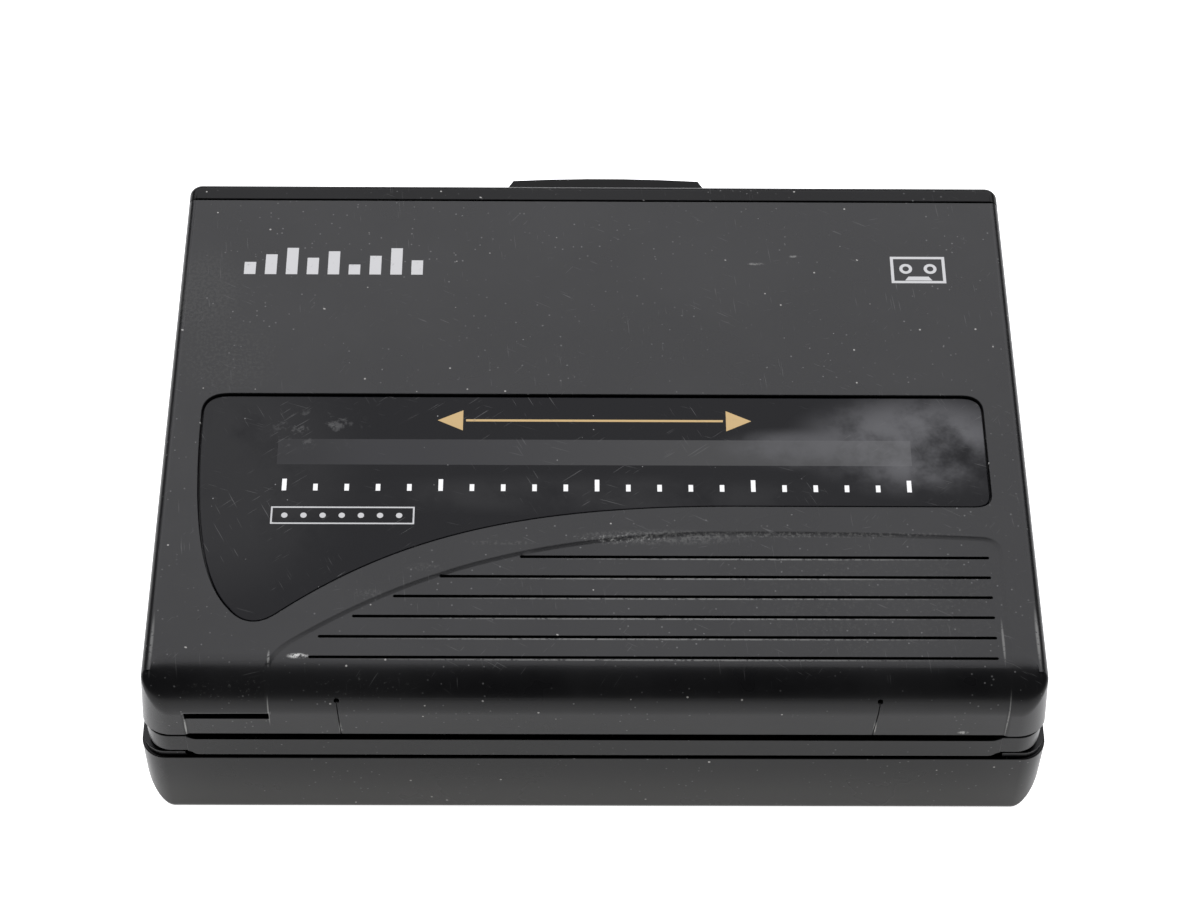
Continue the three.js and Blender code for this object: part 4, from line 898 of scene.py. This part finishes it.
def case_outer(name):
    outline = case_plan(CASE_HIGH.x, CASE_LOW.y, CASE_HIGH.y, CORNER, CORNER)
    return case_body(name, outline, 0, RIM, even(0.18), CASE_EDGES, 16)


def case_inner(inset, floor):
    corner = CORNER - 1.2
    outline = case_plan(CASE_HIGH.x - inset, CASE_LOW.y + inset, CASE_HIGH.y - inset, corner, corner)
    edges = {"side": (4.2, 5.6), "near": (0.3, 0.3), "far": (0.3, 0.3)}
    return case_body("cutter", outline, floor, RIM + 4, None, edges, 8)


SCREWS = [node_middle(f"case_screw_{i}")[:2] for i in range(1, 5)]


def rim_lip():
    """A thin lip on the rim along both sides and round the near corners."""
    def slab(inset, low, high):
        outline = case_plan(CASE_HIGH.x - inset, CASE_LOW.y + inset, CASE_HIGH.y, CORNER - inset, 1)
        return prism([point for point, _ in outline], low, high)

    return cut(slab(0.4, RIM - 1, 14.3), slab(1.1, RIM - 2, 16), block(-53, 53, CASE_LOW.y - 1, 50, 0, TOP),
               block(-60, 60, 38, 50, 0, TOP))


def rear_shell():
    shell = cut(case_outer("rear_shell"), case_inner(1.5, 1.6))
    bosses = [round_bar("z", at, SCREW["boss"], 1, SCREW["boss_top"]) for at in SCREWS]
    join(shell, rim_lip(), *bosses)
    gap = 0.24
    bay = block(CASE_LOW.x - 2, COVER_HIGH.x + gap, COVER_LOW.y - gap, COVER_HIGH.y + gap, -1,
                COVER_HIGH.z + gap)
    wheel_low, wheel_high = node_box("volume_wheel")
    slots = [block(CASE_HIGH.x - 4, CASE_HIGH.x + 2, wheel_low.y + 0.8, wheel_high.y - 0.8,
                   wheel_low.z - 0.4, wheel_high.z + 0.4)]
    for name in ("bass_switch", "noise_filter_switch"):
        low, high = node_box(name)
        knob_low, knob_high = low.y + 3, high.y - 1.5
        slots.append(block(CASE_LOW.x - 1, CASE_LOW.x + 3, knob_low - 0.3, knob_high + TRAVEL["side"] + 0.3,
                           low.z + 0.7, high.z - 0.7))
    for name, hole in (("headphone_jack", 3.1), ("power_jack", 3.4)):
        at = (node_middle(name).y, JACK_HEIGHT)
        slots.append(round_bar("x", at, hole, CASE_HIGH.x - 4, CASE_HIGH.x + 1, 48))
    for at in SCREWS:
        slots += [round_bar("z", at, SCREW["shank"], -1, 9.5),
                  round_bar("z", at, SCREW["head"], -1, SCREW["sunk"])]
    cut(shell, bay, *slots)
    return dress(weigh_normals(shell), "case", "shell", REAR_LOOK, "rear_case")


def battery_cover():
    cover = cut(case_outer("battery_lid"), case_inner(1.5, 1))
    area = block(CASE_LOW.x - 2, COVER_HIGH.x, COVER_LOW.y, COVER_HIGH.y, -1, COVER_HIGH.z)
    combine(cover, [area], "INTERSECT")
    ribs = [block(x, x + 0.8, -31, -21, -0.5, 0.35) for x in (-14, -16, -18, -20)]
    cut(cover, *ribs)
    return dress(weigh_normals(cover), "battery_cover", "shell", REAR_LOOK, "battery_cover")


def rail():
    """The far edge of the player, which holds the keys and the release bar."""
    outline = case_plan(DOOR_HALF, PANEL_LOW.y - PAST, PANEL_HIGH.y, CORNER, PANEL_CORNER)
    edges = {"side": (SIDE_ROUND, SIDE_ROUND), "near": (1, 1), "far": (1.4, 1.4)}
    wall = case_body("control_rail", outline, PANEL_LOW.z, TOP, edges, even(0.2), 12, DRAFT)
    hollow = block(-DOOR_HALF + 1, DOOR_HALF - 1, PANEL_LOW.y - 1, PANEL_HIGH.y - 1.5, RIM - 1, TOP - 1.2)
    keys_low, keys_high = node_box("rewind_key")[0], node_box("play_key")[1]
    mode_low, mode_high = node_box("reverse_mode_switch")
    slots = [(keys_low.x, keys_high.x, keys_low.z + 0.6, keys_high.z - 0.6),
             (BAR_LOW.x + 1, BAR_HIGH.x - 1, BAR_LOW.z + 0.5, BAR_HIGH.z),
             (mode_low.x + 1.5, mode_high.x - 1.5 + TRAVEL["mode"], mode_low.z + 1, mode_high.z - 1)]
    cutters = [block(x0 - 0.3, x1 + 0.3, PANEL_HIGH.y - 3, PANEL_HIGH.y + 1, z0 - 0.2, z1 + 0.2)
               for x0, x1, z0, z1 in slots]
    cut(wall, trim(PANEL_LOW.y, -1), hollow, *cutters)
    return dress(weigh_normals(wall), "case", "shell", RAIL_LOOK, "control_panel")


def refined(node, body, slot, width=0.15, segments=2, look=None):
    """A copy of a plain CAD node with its sharp edges rounded, in place of the node."""
    source = frame["nodes"][node]
    piece = bpy.data.objects.new(node + "_fine", source.data.copy())
    SCENE.collection.objects.link(piece)
    work = bmesh.new()
    work.from_mesh(piece.data)
    bmesh.ops.remove_doubles(work, verts=work.verts, dist=1e-6)
    bmesh.ops.dissolve_limit(work, angle_limit=math.radians(1), verts=work.verts, edges=work.edges)
    work.to_mesh(piece.data)
    work.free()
    shade(piece)
    soften(piece, width, segments)
    return dress(piece, body, slot, look, node)


# ---------------------------------------------------------------- springs
KEYS = ("rewind_key", "forward_key", "stop_key", "play_key")
LEAF = {"thick": 0.3, "half": 1.5, "foot": 0.8, "steps": 12}
COIL = {"wire": 0.2, "turns": 5, "steps": 24, "sides": 10, "pressed": 0.72}


def comb_spring():
    """The keys' comb spring: a fixed spine, and a finger for each key."""
    low, high = node_box("key_spring")
    front = low.y + LEAF["thick"]
    bend = low.z + LEAF["foot"]
    spine = block(low.x, high.x, low.y, front, low.z, bend, "key_spring_spine")
    dress(soften(spine, 0.06), "case", "spring_steel", None, "key_spring")
    for key in KEYS:
        left, right = node_box(key)
        middle = (left.x + right.x) / 2
        rings = []
        for i in range(LEAF["steps"] + 1):
            share = i / LEAF["steps"]
            y = front + (high.y - front) * share
            z = bend + (high.z - bend) * share
            rings.append([(middle + side * LEAF["half"], at, z)
                          for side, at in ((-1, y - LEAF["thick"]), (1, y - LEAF["thick"]), (1, y), (-1, y))])
        finger = loft("key_spring_finger_" + key, rings)
        finger.data.materials.append(LOOK["spring_steel"])
        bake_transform(finger)


def latch_coil():
    """The latch's return spring, a coil of wire along X."""
    low, high = node_box("latch_spring")
    middle = (low + high) / 2
    wire = COIL["wire"]
    radius = (high.y - low.y) / 2 - wire
    count = COIL["turns"] * COIL["steps"]
    rings = []
    for i in range(count + 1):
        angle = 2 * math.pi * i / COIL["steps"]
        out = Vector((0, math.cos(angle), math.sin(angle)))
        along = low.x + wire + (high.x - low.x - 2 * wire) * i / count
        center = Vector((along, middle.y, middle.z)) + out * radius
        rings.append([center + out * u + Vector((v, 0, 0)) for u, v in circle(0, 0, wire, COIL["sides"])])
    coil = dress(loft("latch_spring_coil", rings), "case", "spring_steel", None, "latch_spring")
    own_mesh(coil)


# ---------------------------------------------------------------- printed marks
INK_LIFT = 0.02


def printed(name, outlines, ink, slot, surface):
    """Flat ink marks lying on a surface of the door."""
    points, faces = [], []
    for line in outlines:
        start, count = len(points), len(line)
        points += [(x, y, surface + rise) for rise in (INK_LIFT, -INK_LIFT) for x, y in line]
        faces.append(tuple(start + i for i in range(count)))
        faces.append(tuple(start + count + i for i in reversed(range(count))))
        faces += [(start + (i + 1) % count, start + i, start + count + i, start + count + (i + 1) % count)
                  for i in range(count)]
    piece = mesh_piece(name, points, faces)
    return dress(piece, "door", slot, INK[ink])


def arrow(x, y, length, half, way):
    return anticlockwise([(x, y - half), (x + way * length, y), (x, y + half)])


def washer(x, y, outer, inner, parts=2, sides=12):
    """A flat ring as arcs that touch end to end."""
    made = []
    for part in range(parts):
        start = 2 * math.pi * part / parts
        angles = [start + 2 * math.pi / parts * i / sides for i in range(sides + 1)]
        made.append([(x + outer * math.cos(a), y + outer * math.sin(a)) for a in angles]
                    + [(x + inner * math.cos(a), y + inner * math.sin(a)) for a in reversed(angles)])
    return made


def frame_lines(x0, x1, y0, y1, width):
    """The four lines of a rectangle's outline."""
    return [rectangle(x0, x1, y0, y0 + width), rectangle(x0, x1, y1 - width, y1),
            rectangle(x0, x0 + width, y0 + width, y1 - width),
            rectangle(x1 - width, x1, y0 + width, y1 - width)]


def level_bars():
    left, foot, pitch, width = -48.6, 25.4, 2.9, 1.6
    return [rectangle(left + pitch * i, left + width + pitch * i, foot, foot + high)
            for i, high in enumerate((2.2, 3.6, 4.8, 3.0, 4.2, 1.8, 3.4, 4.8, 2.6))]


def tape_mark(x, y):
    """A small outline of a cassette: its edge, two hubs and the wide part at its foot."""
    hubs = [washer(x + side * 1.7, y + 0.2, 0.9, 0.45) for side in (-1, 1)]
    foot = [(x - 1.9, y - 1.9), (x + 1.9, y - 1.9), (x + 1.4, y - 1.2), (x - 1.4, y - 1.2)]
    return frame_lines(x - 3.8, x + 3.8, y - 2.4, y + 2.4, 0.42) + hubs[0] + hubs[1] + [foot]


def direction_marks():
    """A thin line with an arrow head at each end."""
    half, y = 17.2, 0.2
    heads = [arrow(side * (half + 0.4), y, 3.4, 1.7, side) for side in (-1, 1)]
    return [rectangle(-half, half, y - 0.18, y + 0.18), *heads]


def scale_marks():
    """A row of ticks under the viewing strip, with every fifth one longer."""
    left, foot, pitch, width = -41.2, -11.5, 4.12, 0.6
    return [rectangle(left + pitch * i, left + width + pitch * i, foot, foot + (1.9 if i % 5 == 0 else 1.1))
            for i in range(21)]


def dot_marks():
    """A small outlined box with a row of dots."""
    dots = [circle(-40.6 + 2.5 * i, -15.5, 0.42, 20) for i in range(7)]
    return frame_lines(-42.4, -23.6, -16.9, -14.1, 0.22) + dots


def printed_marks():
    printed("door_level_marks", level_bars(), "silver", "steel", TOP)
    printed("door_tape_mark", tape_mark(45.1, 26.6), "silver", "steel", TOP)
    printed("door_direction_marks", direction_marks(), "gold", "brass", LENS_HIGH.z)
    printed("door_scale_marks", scale_marks(), "white", "white_plastic", LENS_HIGH.z)
    printed("door_dot_marks", dot_marks(), "silver", "steel", LENS_HIGH.z)


# ---------------------------------------------------------------- build
door_shell()
window_lens()
carrier()
rear_shell()
battery_cover()
rail()
printed_marks()
comb_spring()
latch_coil()
for key in KEYS:
    refined(key, key, "trim", 0.2)
refined("release_bar", "release_bar", "trim", 0.3, 3, BAR_LOOK)
for node, body in (("reverse_mode_switch", "mode_switch"), ("bass_switch", "bass_switch"),
                   ("noise_filter_switch", "noise_filter_switch")):
    refined(node, body, "trim", 0.12)

slot_of = {part["node"]: part["material_slot"] for part in frame["record"]["subparts"]}
for node, piece in frame["nodes"].items():
    piece.data.materials.clear()
    piece.data.materials.append(LOOK[slot_of[node]])


# ---------------------------------------------------------------- floor, light and camera
def plain_floor():
    n = Nodes("floor_white")
    tone = n.mix(n.noise(3.0, 2.0), grey(0.86), grey(0.9))
    n.bump(n.noise(400.0, 2.0), 0.02, 0.0001)
    look = n.finish(tone, 0.8)
    n.shader.inputs["Emission Color"].default_value = grey(1)
    n.shader.inputs["Emission Strength"].default_value = 1.0
    corners = rectangle(-3000, 3000, -3000, 3000)
    floor = mesh_piece("floor", [(x, y, -0.02) for x, y in corners], [(0, 1, 2, 3)])
    floor.data.materials.append(look)


def softbox(name, elevation, azimuth, distance, width, height, power):
    """An area light that faces the player from a direction; azimuth 0 is beyond the far edge."""
    light = bpy.data.lights.new(name, "AREA")
    light.shape = "RECTANGLE"
    light.size = width
    light.size_y = height
    light.energy = power
    light.color = (0.965, 0.965, 1.0)
    lamp = bpy.data.objects.new(name, light)
    e, a = math.radians(elevation), math.radians(azimuth)
    lamp.location = Vector((math.sin(a) * math.cos(e), math.cos(a) * math.cos(e), math.sin(e))) * distance
    lamp.rotation_euler = lamp.location.to_track_quat("Z", "Y").to_euler()
    SCENE.collection.objects.link(lamp)


def world_light(level):
    world = bpy.data.worlds.new("studio")
    world.use_nodes = True
    sky = world.node_tree.nodes["Background"]
    sky.inputs["Color"].default_value = grey(1)
    sky.inputs["Strength"].default_value = level
    SCENE.world = world


CAMERA = {"aim": (0.9, 6.35, 15.0), "distance": 422.0, "elevation": 53.12, "yaw": 0.996, "roll": 0.987,
          "lens": 91.04}


def camera():
    data = bpy.data.cameras.new("camera")
    data.sensor_width = 36
    data.lens = CAMERA["lens"]
    data.clip_start = 0.01
    e, yaw, roll = (math.radians(CAMERA[k]) for k in ("elevation", "yaw", "roll"))
    forward = Vector((math.sin(yaw) * math.cos(e), math.cos(yaw) * math.cos(e), -math.sin(e)))
    right = Vector((math.cos(yaw), -math.sin(yaw), 0))
    up = right.cross(forward)
    turn = Matrix((right, up, -forward)).transposed().to_4x4() @ Matrix.Rotation(roll, 4, "Z")
    eye = bpy.data.objects.new("camera", data)
    place = Vector(CAMERA["aim"]) * MM - forward * CAMERA["distance"] * MM
    eye.matrix_world = Matrix.Translation(place) @ turn
    SCENE.collection.objects.link(eye)
    SCENE.camera = eye


plain_floor()
softbox("overhead_softbox", elevation=58, azimuth=0, distance=0.9, width=1.5, height=1.2, power=18.2)
world_light(0.03)
camera()
SCENE.view_settings.view_transform = "Standard"
